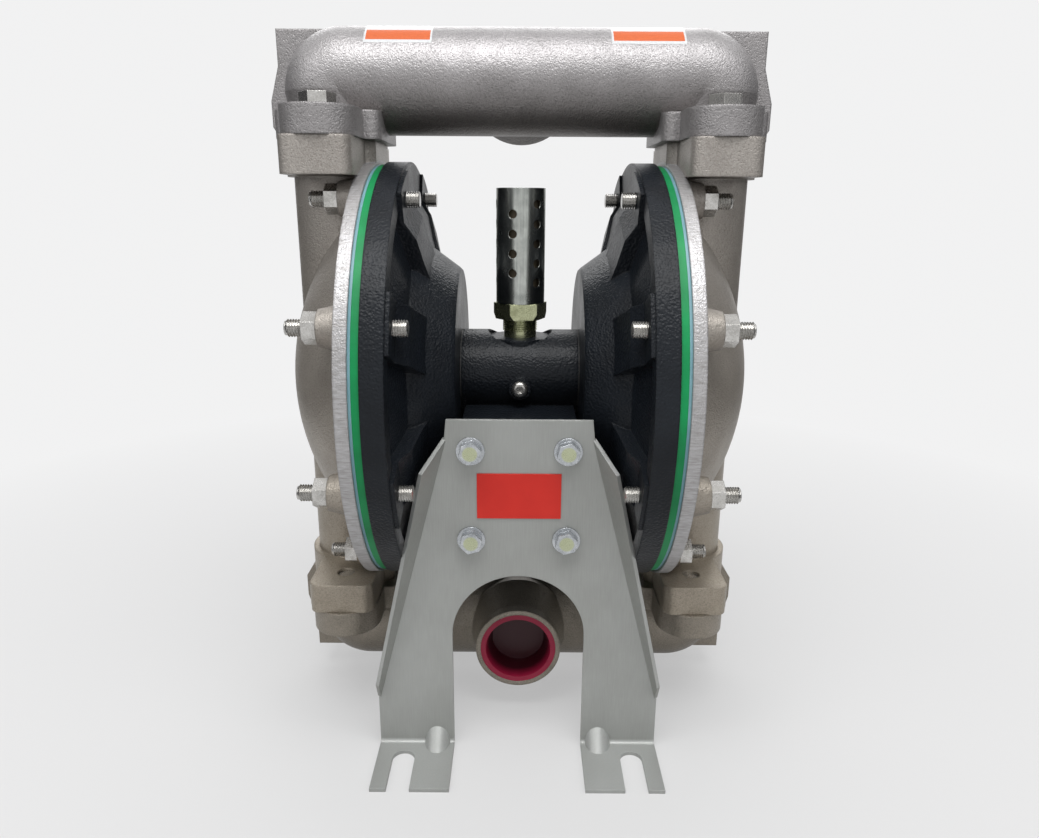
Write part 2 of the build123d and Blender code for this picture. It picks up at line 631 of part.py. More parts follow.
def cap_gasket():
    """Gasket between the centre body and an air cap."""
    ring = rod_x(BARREL_R, BODY_HALF, AIR_BACK, z=AXIS_Z)
    ring -= rod_x(BUSH_R, BODY_HALF, AIR_BACK, z=AXIS_Z)
    ring -= rod_x(PILOT_R + 1, BODY_HALF, AIR_BACK, z=AXIS_Z - PILOT_DROP)
    for y, z in cap_screw_places():
        ring -= rod_x(CAP_SCREW_R + 0.3, BODY_HALF, AIR_BACK, y, z)
    return ring


def cap_screws():
    """Socket head screws of one air cap."""
    head_x = AIR_BACK + WALL + 2
    screws = []
    for y, z in cap_screw_places():
        screw = rod_x(CAP_SCREW_R, BODY_HALF - CAP_SCREW_GRIP, head_x, y, z)
        screw += rod_x(CAP_SCREW_HEAD_R, head_x, head_x + CAP_SCREW_HEAD_T, y, z)
        socket = Rot(0, 90, 0) * Pos(0, 0, CAP_SCREW_HEAD_T / 2)
        socket = socket * hex_bar(CAP_SCREW_R * 1.5, CAP_SCREW_HEAD_T)
        screws.append(screw - Pos(head_x, y, z) * socket)
    return screws


def shaft_bush():
    """Plain bearing bush at one end of the centre body."""
    bush = rod_x(BUSH_R, BODY_HALF - BUSH_L, BODY_HALF, z=AXIS_Z)
    return bush - rod_x(SHAFT_R + RUNNING, BODY_HALF - BUSH_L, BODY_HALF, z=AXIS_Z)


def shaft_cup():
    """Lip seal inboard of a shaft bush."""
    x1 = BODY_HALF - BUSH_L
    cup = rod_x(CUP_R, x1 - CUP_T, x1, z=AXIS_Z)
    return cup - rod_x(SHAFT_R + RUNNING, x1 - CUP_T, x1, z=AXIS_Z)


def pilot_sleeve():
    """Bush that guides one end of the pilot rod."""
    x0 = BODY_HALF - PILOT_SLEEVE_L
    sleeve = rod_x(PILOT_SLEEVE_R, x0, BODY_HALF, z=AXIS_Z - PILOT_DROP)
    return sleeve - rod_x(PILOT_R + RUNNING, x0, BODY_HALF, z=AXIS_Z - PILOT_DROP)


def plug_screw():
    """Button head screw that closes the drilling in the front of the centre body."""
    z = AXIS_Z - PLUG_SCREW_DROP
    screw = rod_y(PLUG_SCREW_R, -PLUG_PAD_Y, -PLUG_PAD_Y + PLUG_SCREW_HEAD_T * 2, z=z)
    head = rod_y(PLUG_SCREW_HEAD_R, -PLUG_PAD_Y - PLUG_SCREW_HEAD_T, -PLUG_PAD_Y, z=z)
    rim = head.edges().filter_by(GeomType.CIRCLE).sort_by(Axis.Y)[0]
    head = fillet(rim, PLUG_SCREW_HEAD_T * 0.7)
    socket = Rot(90, 0, 0) * hex_bar(PLUG_SCREW_R * 1.2, PLUG_SCREW_HEAD_T)
    return screw + head - Pos(0, -PLUG_PAD_Y - PLUG_SCREW_HEAD_T * 0.4, z) * socket


# ---------------------------------------------------------------- shaft assembly
def shaft():
    """Diaphragm shaft with a tapped hole in each end."""
    rod = rod_x(SHAFT_R, -PLATE_IN_X, PLATE_IN_X, z=AXIS_Z)
    for sign in (-1, 1):
        depth = PLATE_IN_X - SHAFT_BOLT_GRIP - 1
        rod -= rod_x(SHAFT_BOLT_R, sign * depth, sign * PLATE_IN_X, z=AXIS_Z)
    return rod


def inner_plate():
    """Air side clamping plate."""
    x1 = PLATE_IN_X + INNER_PLATE_T
    edge = INNER_PLATE_T * 0.4
    outline = Polyline(
        (PLATE_IN_X, SHAFT_BOLT_R), (PLATE_IN_X, INNER_PLATE_R - edge * 3),
        (x1 - edge, INNER_PLATE_R), (x1, INNER_PLATE_R), (x1, SHAFT_BOLT_R),
        (PLATE_IN_X, SHAFT_BOLT_R),
    )
    return round_shaft_axis(outline)


def outer_plate():
    """Wetted side clamping plate, with a rounded shoulder."""
    x1 = PLATE_OUT_X + OUTER_PLATE_T
    knee = OUTER_PLATE_T * 0.35
    lines = Curve() + [
        Polyline((PLATE_OUT_X, OUTER_PLATE_R), (PLATE_OUT_X, SHAFT_BOLT_R), (x1, SHAFT_BOLT_R),
                 (x1, OUTER_PLATE_R / 2)),
        ThreePointArc((x1, OUTER_PLATE_R / 2), (x1 - knee, OUTER_PLATE_R * 0.85),
                      (PLATE_OUT_X, OUTER_PLATE_R)),
    ]
    return round_shaft_axis(lines)


def shaft_bolt():
    """Bolt that clamps the plates and diaphragm to the end of the shaft."""
    seat_x = PLATE_OUT_X + OUTER_PLATE_T
    length = seat_x - PLATE_IN_X + SHAFT_BOLT_GRIP
    bolt = hex_bolt(SHAFT_BOLT_R, SHAFT_BOLT_AF, SHAFT_BOLT_HEAD, length)
    return Pos(seat_x, 0, AXIS_Z) * Rot(0, 90, 0) * bolt


def pilot_rod():
    """Pilot rod that each inner plate pushes at the end of its stroke."""
    rod = rod_x(PILOT_R, -PILOT_HALF, PILOT_HALF, z=AXIS_Z - PILOT_DROP)
    return chamfer(rod.edges().filter_by(GeomType.CIRCLE), 1.0)


# ---------------------------------------------------------------- main valve
def valve_sleeve():
    """Liner of the main valve bore, with its three ring ports."""
    inner = VALVE_BORE_R - SLEEVE_WALL
    sleeve = rod_y(VALVE_BORE_R, -BLOCK_Y + COVER_SPIGOT, BLOCK_Y - COVER_SPIGOT, z=VALVE_Z)
    for y in (-SPOOL_LAND_T * 2, 0, SPOOL_LAND_T * 2):
        for turn in (0, 90):
            port = rod_x(SPOOL_LAND_T / 4, -VALVE_BORE_R, VALVE_BORE_R)
            sleeve -= Pos(0, y, VALVE_Z) * Rot(0, turn, 0) * port
    return sleeve - rod_y(inner, -BLOCK_Y, BLOCK_Y, z=VALVE_Z)


def spool_start_y():
    """Inlet side end of the spool at rest."""
    return -BLOCK_Y + COVER_SPIGOT + SPOOL_END_GAP


def spool_end_y():
    """Outlet side end of the spool at rest."""
    return BLOCK_Y - COVER_SPIGOT - SPOOL_END_GAP - SPOOL_TRAVEL


def valve_spool():
    """Main valve spool: a stem with four lands."""
    land = VALVE_BORE_R - SLEEVE_WALL - RUNNING
    y0, y1 = spool_start_y(), spool_end_y()
    spool = rod_y(SPOOL_STEM_R, y0, y1, z=VALVE_Z)
    step = (y1 - y0 - SPOOL_LAND_T) / 3
    for i in range(4):
        spool += rod_y(land, y0 + i * step, y0 + i * step + SPOOL_LAND_T, z=VALVE_Z)
        middle = y0 + i * step + SPOOL_LAND_T / 2
        groove = rod_y(land, middle - 2, middle + 2, z=VALVE_Z)
        spool -= groove - rod_y(land - 3, middle - 2, middle + 2, z=VALVE_Z)
    return spool


def spool_rings():
    """Seal rings in the lands of the spool."""
    land = VALVE_BORE_R - SLEEVE_WALL - RUNNING
    y0, y1 = spool_start_y(), spool_end_y()
    step = (y1 - y0 - SPOOL_LAND_T) / 3
    rings = []
    for i in range(4):
        middle = y0 + i * step + SPOOL_LAND_T / 2
        ring = rod_y(land, middle - 2, middle + 2, z=VALVE_Z)
        rings.append(ring - rod_y(land - 3, middle - 2, middle + 2, z=VALVE_Z))
    return rings


def valve_cover(sign):
    """Cover that closes one end of the valve bore and carries a leg."""
    plate = block(-BLOCK_X, BLOCK_X, sign * COVER_Y, sign * LEG_Y,
                  VALVE_Z - BLOCK_Z, VALVE_Z + BLOCK_Z)
    plate = fillet(plate.edges().filter_by(Axis.Y), BLOCK_CORNER)
    plate += rod_y(VALVE_BORE_R - 0.2, sign * (BLOCK_Y - COVER_SPIGOT), sign * COVER_Y, z=VALVE_Z)
    for x, z in leg_bolt_places():
        plate -= rod_y(LEG_BOLT_R + LEG_BOLT_CLEAR, sign * COVER_Y, sign * LEG_Y, x, z)
    return plate


def cover_gasket(sign):
    """Gasket under a valve cover."""
    sheet = block(-BLOCK_X, BLOCK_X, sign * BLOCK_Y, sign * COVER_Y,
                  VALVE_Z - BLOCK_Z, VALVE_Z + BLOCK_Z)
    sheet -= rod_y(VALVE_BORE_R, sign * BLOCK_Y, sign * COVER_Y, z=VALVE_Z)
    for x, z in leg_bolt_places():
        sheet -= rod_y(LEG_BOLT_R + LEG_BOLT_CLEAR, sign * BLOCK_Y, sign * COVER_Y, x, z)
    return sheet


# ---------------------------------------------------------------- legs
def leg_section():
    """Side view of a leg, plate and foot with a bend between, as a sketch in the YZ plane."""
    top = AXIS_Z - LEG_TOP
    bend = LEG_BEND_R + LEG_T
    outline = Polyline(
        (-LEG_Y, top), (-LEG_Y, 0), (-LEG_TOE_Y, 0), (-LEG_TOE_Y, LEG_T),
        (-LEG_FACE_Y, LEG_T), (-LEG_FACE_Y, top), (-LEG_Y, top),
    )
    face = make_face(outline)
    heel = face.vertices().sort_by_distance((-LEG_Y, 0, 0))[0]
    face = fillet(heel, bend)
    throat = face.vertices().sort_by_distance((-LEG_FACE_Y, LEG_T, 0))[0]
    return fillet(throat, LEG_BEND_R)


def leg_front():
    """Front view of a leg as a sketch in the XZ plane: tapered plate with an arch."""
    shoulder_z = AXIS_Z - LEG_SHOULDER
    top = AXIS_Z - LEG_TOP
    right = [(LEG_TOP_HALF, top), (LEG_SHOULDER_HALF, shoulder_z), (LEG_FOOT_HALF, LEG_KNEE_Z),
             (LEG_FOOT_HALF, 0)]
    left = [(-x, z) for x, z in reversed(right)]
    plate = make_face(Polyline(*right, *left, right[0]))
    plate -= Pos(0, LEG_ARCH_Z) * Circle(LEG_ARCH_R)
    return plate - Pos(0, LEG_ARCH_Z / 2) * Rectangle(2 * LEG_ARCH_R, LEG_ARCH_Z)


def side_flange():
    """Stiffening flange along the right hand sloping edge, bent forward and slightly outward."""
    high = Vector(LEG_SHOULDER_HALF, 0, AXIS_Z - LEG_SHOULDER)
    low = Vector(LEG_FOOT_HALF, 0, LEG_KNEE_Z)
    along = (low - high).normalized()
    outward = Vector(-along.Z, 0, along.X)
    flare = math.radians(SIDE_FLARE)
    forward = Vector(0, -1, 0) * math.cos(flare) + outward * math.sin(flare)
    length = (low - high).length
    corner = high - outward * LEG_T + Vector(0, -LEG_Y, 0)
    place = Plane(origin=corner, x_dir=along, z_dir=along.cross(forward))
    outline = Polyline(
        (0, 0), (length, 0), (length, LEG_T), (length - SIDE_TAPER, SIDE_END_DEPTH),
        (SIDE_TOP_CUT, SIDE_DEPTH), (0, LEG_T), (0, 0),
    )
    thickness = LEG_T if place.z_dir.dot(outward) > 0 else -LEG_T
    return extrude(place * make_face(outline), thickness)


def dart():
    """Pressed stiffening dart across the bend of the foot."""
    bar = Rot(-45, 0, 0) * Cylinder(DART_R, DART_RISE * 4)
    bar = Pos(DART_X, -LEG_FACE_Y, LEG_T) * bar
    corner = block(DART_X - DART_R, DART_X + DART_R, -LEG_FACE_Y - DART_RISE,
                   -LEG_FACE_Y + 1, LEG_T - 1, LEG_T + DART_RISE)
    return bar & corner


def leg():
    """Inlet side leg: one stamping with two feet, side flanges, bolt holes and open foot slots."""
    body = extrude(Plane.YZ * leg_section(), LEG_FOOT_HALF + SIDE_DEPTH, both=True)
    body = body & extrude(Plane.XZ * leg_front(), LEG_TOE_Y * 2, both=True)
    for part in (side_flange(), dart()):
        for side in each_side(part):
            body += side
    for x in (-FOOT_SLOT_X, FOOT_SLOT_X):
        body -= rod_z(FOOT_SLOT_W / 2, 0, LEG_T * 2, x, -FOOT_SLOT_Y)
        body -= block(x - FOOT_SLOT_W / 2, x + FOOT_SLOT_W / 2, -LEG_TOE_Y, -FOOT_SLOT_Y,
                      0, LEG_T * 2)
    for x, z in leg_bolt_places():
        body -= rod_y(LEG_BOLT_R + LEG_BOLT_CLEAR, -LEG_FACE_Y, -LEG_Y, x, z)
    return body


def leg_bolt(x, z):
    """Flanged bolt through a leg, a valve cover and its gasket into the centre body."""
    length = LEG_T + COVER_T + COVER_GASKET_T + LEG_BOLT_GRIP
    bolt = hex_bolt(LEG_BOLT_R, LEG_BOLT_AF, LEG_BOLT_HEAD_T, length)
    bolt += rod_z(LEG_BOLT_FLANGE_R, 0, LEG_BOLT_FLANGE_T)
    return Pos(x, -LEG_FACE_Y, z) * Rot(90, 0, 0) * Rot(0, 0, 15) * bolt


# ---------------------------------------------------------------- silencer
def silencer_base():
    """Threaded spigot and hexagon of the silencer."""
    base = rod_z(EXHAUST_THREAD_R, EXHAUST_TOP_Z - EXHAUST_THREAD_L + 1, SILENCER_HEX_Z)
    hexagon = Pos(0, 0, SILENCER_HEX_Z) * Rot(0, 0, 8) * hex_bar(SILENCER_HEX_AF, SILENCER_HEX_T)
    corner = Pos(0, 0, SILENCER_HEX_Z + SILENCER_HEX_T / 2)
    cone = Cone(SILENCER_HEX_AF * 0.54, SILENCER_HEX_AF * 0.64, SILENCER_HEX_T)
    base += hexagon & corner * cone
    spigot_r = SILENCER_R - SILENCER_WALL
    base += rod_z(spigot_r, SILENCER_TUBE_Z, SILENCER_TUBE_Z + SILENCER_SEAT)
    return base - rod_z(SILENCER_THREAD_BORE, 0, AXIS_Z * 2)


def silencer_tube():
    """Perforated tube: columns of holes, every other column half a pitch lower."""
    z0, z1 = SILENCER_TUBE_Z, SILENCER_TUBE_Z + SILENCER_L
    tube = rod_z(SILENCER_R, z0, z1) - rod_z(SILENCER_R - SILENCER_WALL, z0, z1)
    holes = []
    for column in range(HOLE_COLUMNS):
        odd = column % 2
        turn = 360 / HOLE_COLUMNS * column - 109
        for row in range(HOLE_ROWS - 1 + odd):
            z = z0 + HOLE_FIRST + HOLE_PITCH * (row + 0.5 * (1 - odd))
            drill = Rot(0, 0, turn) * rod_x(HOLE_R, SILENCER_R / 2, SILENCER_R * 2)
            holes.append(Pos(0, 0, z) * drill)
    return tube - holes


def silencer_cap():
    """End disc pressed into the top of the perforated tube."""
    top = SILENCER_TUBE_Z + SILENCER_L
    return rod_z(SILENCER_R - SILENCER_WALL, top - SILENCER_CAP_T - 1, top - 1)


def silencer_element():
    """Porous lining behind the holes."""
    outer = SILENCER_R - SILENCER_WALL - ELEMENT_GAP
    z0 = SILENCER_TUBE_Z + SILENCER_SEAT
    z1 = SILENCER_TUBE_Z + SILENCER_L - SILENCER_CAP_T - 1
    return rod_z(outer, z0, z1) - rod_z(outer - ELEMENT_WALL, z0, z1)


# ---------------------------------------------------------------- inlet plug
def inlet_plug():
    """Plastic shipping plug pushed into the inlet port: a tapered cup with a rim in the mouth."""
    fit_r = PORT_THREAD_R - PLUG_FIT
    rim_r = PORT_MOUTH_R - PLUG_FIT
    mouth_r = fit_r - PLUG_SHELL_T / 2
    lines = Polyline(
        (rim_r, 0), (rim_r, PORT_MOUTH_D), (fit_r, PORT_MOUTH_D), (fit_r - PLUG_TAPER, PLUG_DEPTH),
        (0, PLUG_DEPTH), (0, PLUG_DEPTH - PLUG_SHELL_T),
        (mouth_r - PLUG_TAPER - PLUG_SHELL_T, PLUG_DEPTH - PLUG_SHELL_T), (mouth_r, 0), (rim_r, 0),
    )
    body = revolve(make_face(lines), Axis.Y)
    return Pos(0, -PORT_FACE_Y, INLET_Z) * body


def name_plate():
    """Blank plate on the inlet side leg."""
    return block(-NAME_PLATE_X / 2, NAME_PLATE_X / 2, -LEG_FACE_Y - NAME_PLATE_T, -LEG_FACE_Y,
                 VALVE_Z - NAME_PLATE_Z / 2, VALVE_Z + NAME_PLATE_Z / 2)


# ---------------------------------------------------------------- nodes
def studs():
    """Right hand clamping studs."""
    return [rod_x(STUD_R, STUD_START_X, STUD_END_X, y, z) for y, z in stud_places()]


def nuts():
    """Right hand clamping nuts."""
    made = []
    for y, z in stud_places():
        nut = Pos(NUT_X, y, z) * Rot(0, 90, 0) * hex_bar(NUT_AF, NUT_T)
        made.append(nut - rod_x(STUD_R, NUT_X, NUT_X + NUT_T, y, z))
    return made


def both(parts):
    """Mirror images of a list of right hand parts."""
    return [mirror(part, about=Plane.YZ) for part in parts]


def main():
    """Build every node and write it."""
    sides = {
        "air_cap": air_cap(),
        "fluid_cap": fluid_cap(),
        "diaphragm": diaphragm_layer(CLAMP_X, OVERLAY_X),
        "diaphragm_overlay": diaphragm_layer(OVERLAY_X, FLUID_X),
        "inner_plate": inner_plate(),
        "outer_plate": outer_plate(),
        "outlet_seat": ball_seat(TOP_JOINT_Z),
        "inlet_seat": ball_seat(FOOT_JOINT_Z),
        "outlet_ball": Pos(COLUMN_X, 0, TOP_JOINT_Z + BALL_RISE) * Sphere(BALL_R),
        "inlet_ball": Pos(COLUMN_X, 0, FOOT_JOINT_Z + BALL_RISE) * Sphere(BALL_R),
    }
    for name, part in sides.items():
        right, left = each_side(part)
        save(name + "_right", right)
        save(name + "_left", left)
    save("cap_studs_right", *studs())
    save("cap_studs_left", *both(studs()))
    save("cap_nuts_right", *nuts())
    save("cap_nuts_left", *both(nuts()))

    save("outlet_manifold", outlet_manifold())
    save("inlet_manifold", inlet_manifold())
    outlet_head_z = TOP_JOINT_Z + FLANGE_T
    inlet_head_z = FOOT_JOINT_Z - FLANGE_T
    save("outlet_bolts", *manifold_bolts(outlet_head_z, OUTLET_BOLT_GRIP, False))
    save("inlet_bolts", *manifold_bolts(inlet_head_z, INLET_BOLT_GRIP, True))
    seals = [seat_seal(TOP_JOINT_Z), seat_seal(FOOT_JOINT_Z)]
    save("seat_seals", *seals, *both(seals))

    save("centre_body", centre_body())
    save("cap_gaskets", *each_side(cap_gasket()))
    save("cap_screws", *cap_screws(), *both(cap_screws()))
    save("shaft_bushes", *each_side(shaft_bush()))
    save("shaft_cups", *each_side(shaft_cup()))
    save("pilot_sleeves", *each_side(pilot_sleeve()))
    save("plug_screw", plug_screw())

    save("shaft", shaft())
    save("shaft_bolts", *each_side(shaft_bolt()))
    save("pilot_rod", pilot_rod())

    save("valve_sleeve", valve_sleeve())
    save("valve_spool", valve_spool())
    save("spool_rings", *spool_rings())
    save("valve_cover_front", valve_cover(-1))
    save("valve_cover_rear", valve_cover(1))
    save("cover_gaskets", cover_gasket(-1), cover_gasket(1))

    bolts = [leg_bolt(x, z) for x, z in leg_bolt_places()]
    save("leg_front", leg())
    save("leg_rear", Rot(0, 0, 180) * leg())
    save("leg_bolts_front", *bolts)
    save("leg_bolts_rear", *[Rot(0, 0, 180) * bolt for bolt in bolts])
    save("name_plate", name_plate())

    save("silencer_base", silencer_base())
    save("silencer_tube", silencer_tube())
    save("silencer_cap", silencer_cap())
    save("silencer_element", silencer_element())
    save("inlet_plug", inlet_plug())


main()
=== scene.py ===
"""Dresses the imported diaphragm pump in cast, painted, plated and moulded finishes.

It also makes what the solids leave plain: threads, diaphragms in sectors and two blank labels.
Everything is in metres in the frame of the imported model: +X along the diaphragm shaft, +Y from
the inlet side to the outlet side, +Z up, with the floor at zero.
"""
import bmesh
import bpy
import json
import logging
import math
from dataclasses import dataclass
from enum import Enum
from functools import cached_property
from mathutils import Matrix, Vector
from typing import Any, Optional, Union


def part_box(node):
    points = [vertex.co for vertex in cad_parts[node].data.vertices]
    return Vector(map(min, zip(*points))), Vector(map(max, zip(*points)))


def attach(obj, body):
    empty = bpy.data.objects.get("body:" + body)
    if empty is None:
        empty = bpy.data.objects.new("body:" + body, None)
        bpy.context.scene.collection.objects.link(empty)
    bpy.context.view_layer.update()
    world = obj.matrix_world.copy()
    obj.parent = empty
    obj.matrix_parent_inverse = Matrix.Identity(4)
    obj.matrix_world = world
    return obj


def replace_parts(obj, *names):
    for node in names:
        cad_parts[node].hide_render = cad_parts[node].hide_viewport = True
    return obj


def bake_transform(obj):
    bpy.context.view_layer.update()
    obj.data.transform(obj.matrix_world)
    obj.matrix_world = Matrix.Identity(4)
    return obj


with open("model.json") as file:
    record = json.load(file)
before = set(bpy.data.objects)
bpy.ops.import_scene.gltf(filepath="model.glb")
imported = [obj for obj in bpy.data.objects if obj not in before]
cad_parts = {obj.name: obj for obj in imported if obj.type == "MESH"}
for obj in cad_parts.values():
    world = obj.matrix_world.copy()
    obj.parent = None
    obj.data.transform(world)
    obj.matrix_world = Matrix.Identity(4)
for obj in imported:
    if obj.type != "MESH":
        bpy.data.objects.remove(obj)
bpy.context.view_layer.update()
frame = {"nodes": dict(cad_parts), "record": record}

LOG = logging.getLogger("pump")
MM = 0.001
FULL_TURN = 2 * math.pi
SHAFT_Z = 287.0 * MM

Number = Union[float, "Value"]
Pair = tuple[float, float]
Triple = tuple[float, float, float]
Colour = Triple
Paint = Union[Colour, bpy.types.NodeSocket]


class Axis(Enum):
    """Direction of a turned piece, as an index of its coordinate."""

    X = 0
    Y = 1
    Z = 2


class Surface(Enum):
    """How a finish breaks up the light."""

    CAST = "cast"
    PAINT = "paint"
    PLATED = "plated"
    ROLLED = "rolled"
    MOULDED = "moulded"


# ------------------------------------------------------------------ shader building
BEVEL_SAMPLES = 4
COAT_ROUGHNESS = 0.12


def opaque(colour: Paint) -> Union[tuple[float, ...], bpy.types.NodeSocket]:
    """A plain colour with full alpha, or the socket as it is."""
    return (*colour, 1.0) if isinstance(colour, tuple) else colour


@dataclass
class Value:
    """A number on its way through a shader, whose arithmetic adds Math nodes."""

    tree: "ShaderTree"
    socket: bpy.types.NodeSocket

    def _math(self, operation: str, first: Number, second: Number) -> "Value":
        """Add one Math node.

        Args:
            operation: Name of the Math node's operation.
            first: Left hand number or value.
            second: Right hand number or value.

        Returns:
            The result as a new value.
        """
        made = self.tree.node("ShaderNodeMath", {0: first, 1: second}, operation=operation)
        return Value(self.tree, made.outputs[0])

    def __add__(self, other: Number) -> "Value":
        """Sum of the two."""
        return self._math("ADD", self, other)

    __radd__ = __add__

    def __mul__(self, other: Number) -> "Value":
        """Product of the two."""
        return self._math("MULTIPLY", self, other)

    __rmul__ = __mul__

    def __rsub__(self, other: Number) -> "Value":
        """The other less this."""
        return self._math("SUBTRACT", other, self)

    def __gt__(self, other: Number) -> "Value":
        """One where this is larger, else zero."""
        return self._math("GREATER_THAN", self, other)

    def __lt__(self, other: Number) -> "Value":
        """One where this is smaller, else zero."""
        return self._math("LESS_THAN", self, other)

    def within(self, low: float, high: float) -> "Value":
        """One where this lies between two numbers, else zero."""
        return (self > low) * (self < high)

    def clamp(self) -> "Value":
        """The value held between zero and one."""
        return Value(self.tree, self.tree.node("ShaderNodeClamp", {0: self}).outputs[0])

    def stretched(self, low: float, high: float) -> "Value":
        """Map low to high onto zero to one.

        Args:
            low: Value that becomes zero.
            high: Value that becomes one.

        Returns:
            The stretched value, held between zero and one.
        """
        made = self.tree.node(
            "ShaderNodeMapRange", {0: self, 1: low, 2: high, 3: 0.0, 4: 1.0}, clamp=True
        )
        return Value(self.tree, made.outputs[0])


def weighed(shares: tuple[float, ...], *layers: Value) -> Value:
    """Add up layers.

    Args:
        shares: Share of each layer.
        layers: Values, in the same order.

    Returns:
        The sum.
    """
    total = layers[0] * shares[0]
    for share, layer in zip(shares[1:], layers[1:]):
        total = total + layer * share
    return total


class ShaderTree:
    """The nodes of one material, or of the world."""

    def __init__(self, owner: Union[bpy.types.Material, bpy.types.World]) -> None:
        """Start with nothing but the output.

        Args:
            owner: New material or world.
        """
        owner.use_nodes = True
        self.owner = owner
        self.graph = owner.node_tree
        self.graph.nodes.clear()
        kind = "World" if isinstance(owner, bpy.types.World) else "Material"
        self.output = self.node(f"ShaderNodeOutput{kind}", {})

    def node(
        self, kind: str, inputs: dict[Union[int, str], Any], **settings: Any
    ) -> bpy.types.Node:
        """Add a node, set it up and connect it.

        Args:
            kind: Blender's name for the node.
            inputs: Socket index or name to a number, a colour, a socket or a value.
            settings: Properties, set first.

        Returns:
            The node.
        """
        made = self.graph.nodes.new(kind)
        for key, setting in settings.items():
            setattr(made, key, setting)
        for key, given in inputs.items():
            if isinstance(given, Value):
                given = given.socket
            if isinstance(given, bpy.types.NodeSocket):
                self.graph.links.new(given, made.inputs[key])
            else:
                made.inputs[key].default_value = given
        return made

    def show(self, shader: bpy.types.NodeSocket) -> None:
        """Connect a shader to the output."""
        self.graph.links.new(shader, self.output.inputs[0])

    @cached_property
    def _sources(self) -> bpy.types.Node:
        """Node that knows where the shaded point is and which way it faces."""
        return self.node("ShaderNodeTexCoord", {})

    @property
    def coordinates(self) -> bpy.types.NodeSocket:
        """Place of the shaded point in the piece's own coordinates."""
        return self._sources.outputs["Object"]

    def place(self, axis: Axis) -> Value:
        """Coordinate of the shaded point along one axis, in metres."""
        made = self.node("ShaderNodeSeparateXYZ", {0: self.coordinates})
        return Value(self, made.outputs[axis.value])

    def slope(self, axis: Axis) -> Value:
        """How far the surface faces along one axis of the piece, from -1 to 1."""
        made = self.node("ShaderNodeSeparateXYZ", {0: self._sources.outputs["Normal"]})
        return Value(self, made.outputs[axis.value])

    def radius(self, centre: Triple, axis: Axis) -> Value:
        """Distance of the shaded point from a line along one axis.

        Args:
            centre: A point on the line.
            axis: Direction of the line.

        Returns:
            The distance in metres.
        """
        flat = tuple(0.0 if index == axis.value else 1.0 for index in range(3))
        moved = self.node(
            "ShaderNodeVectorMath", {0: self.coordinates, 1: centre}, operation="SUBTRACT"
        )
        across = self.node(
            "ShaderNodeVectorMath", {0: moved.outputs[0], 1: flat}, operation="MULTIPLY"
        )
        length = self.node("ShaderNodeVectorMath", {0: across.outputs[0]}, operation="LENGTH")
        return Value(self, length.outputs["Value"])

    def noise(
        self, scale: float, octaves: float = 2.0, stretch: Triple = (1.0, 1.0, 1.0)
    ) -> Value:
        """Fractal noise on the piece's own coordinates.

        Args:
            scale: Patches per metre.
            octaves: Octaves of detail.
            stretch: Scale along each axis on top of scale.

        Returns:
            The noise as a value between zero and one.
        """
        place = self.node("ShaderNodeMapping", {0: self.coordinates, 3: stretch})
        made = self.node(
            "ShaderNodeTexNoise", {"Vector": place.outputs[0], "Scale": scale, "Detail": octaves}
        )
        return Value(self, made.outputs[0])

    def cells(self, scale: float) -> Value:
        """Distance field of scattered points, for pits and orange peel.

        Args:
            scale: Points per metre.

        Returns:
            The distance as a value.
        """
        made = self.node(
            "ShaderNodeTexVoronoi", {"Vector": self.coordinates, "Scale": scale},
            feature="SMOOTH_F1",
        )
        return Value(self, made.outputs[0])

    def mix(self, factor: Number, first: Paint, second: Paint) -> bpy.types.NodeSocket:
        """Blend two colours.

        Args:
            factor: Share of the second colour.
            first: Colour or colour socket.
            second: Colour or colour socket.

        Returns:
            The blended colour's socket.
        """
        made = self.node(
            "ShaderNodeMix", {0: factor, 6: opaque(first), 7: opaque(second)}, data_type="RGBA"
        )
        return made.outputs[2]

    def tinted(self, factor: Number, colour: Paint, tint: Colour) -> bpy.types.NodeSocket:
        """Multiply a colour by a tint.

        Args:
            factor: Share of the tint.
            colour: Colour or colour socket.
            tint: Tint.

        Returns:
            The tinted colour's socket.
        """
        made = self.node(
            "ShaderNodeMix", {0: factor, 6: opaque(colour), 7: opaque(tint)},
            data_type="RGBA", blend_type="MULTIPLY",
        )
        return made.outputs[2]

    def finish(
        self, colour: Paint, roughness: Number, metallic: float = 0.0, coat: float = 0.0,
        height: Optional[Value] = None, depth: float = 0.0, edge: float = 0.0,
        specular: float = 0.5,
    ) -> bpy.types.NodeSocket:
        """Close the tree with a principled shader.

        Args:
            colour: Base colour or its socket.
            roughness: Roughness value or number.
            metallic: Share of metal.
            coat: Weight of the clear coat.
            height: Height of the relief, or nothing for a smooth surface.
            depth: Depth of the relief in metres.
            edge: Radius of the softened edges in metres.
            specular: Specular level.

        Returns:
            The shader's socket, which is connected to the output.
        """
        normal = self.node("ShaderNodeBevel", {"Radius": edge}, samples=BEVEL_SAMPLES).outputs[0]
        if height is not None:
            relief = {"Height": height, "Distance": depth, "Normal": normal}
            normal = self.node("ShaderNodeBump", relief).outputs[0]
        shader = self.node(
            "ShaderNodeBsdfPrincipled",
            {
                "Base Color": opaque(colour), "Roughness": roughness, "Metallic": metallic,
                "Coat Weight": coat, "Coat Roughness": COAT_ROUGHNESS, "Normal": normal,
                "Specular IOR Level": specular,
            },
        ).outputs[0]
        self.show(shader)
        return shader


# ------------------------------------------------------------------ finishes
NO_TINT = (1.0, 1.0, 1.0)

# Middle part of a noise's range, which is spread over zero to one.
BROAD = (0.3, 0.7)
NARROW = (0.35, 0.65)

# The low tint fades out between these heights, and the painted shade of undersides between these
# slopes.
LOW_HEIGHTS = (0.1, 0.45)
UNDER_SHADE_SLOPES = (-0.85, 0.15)

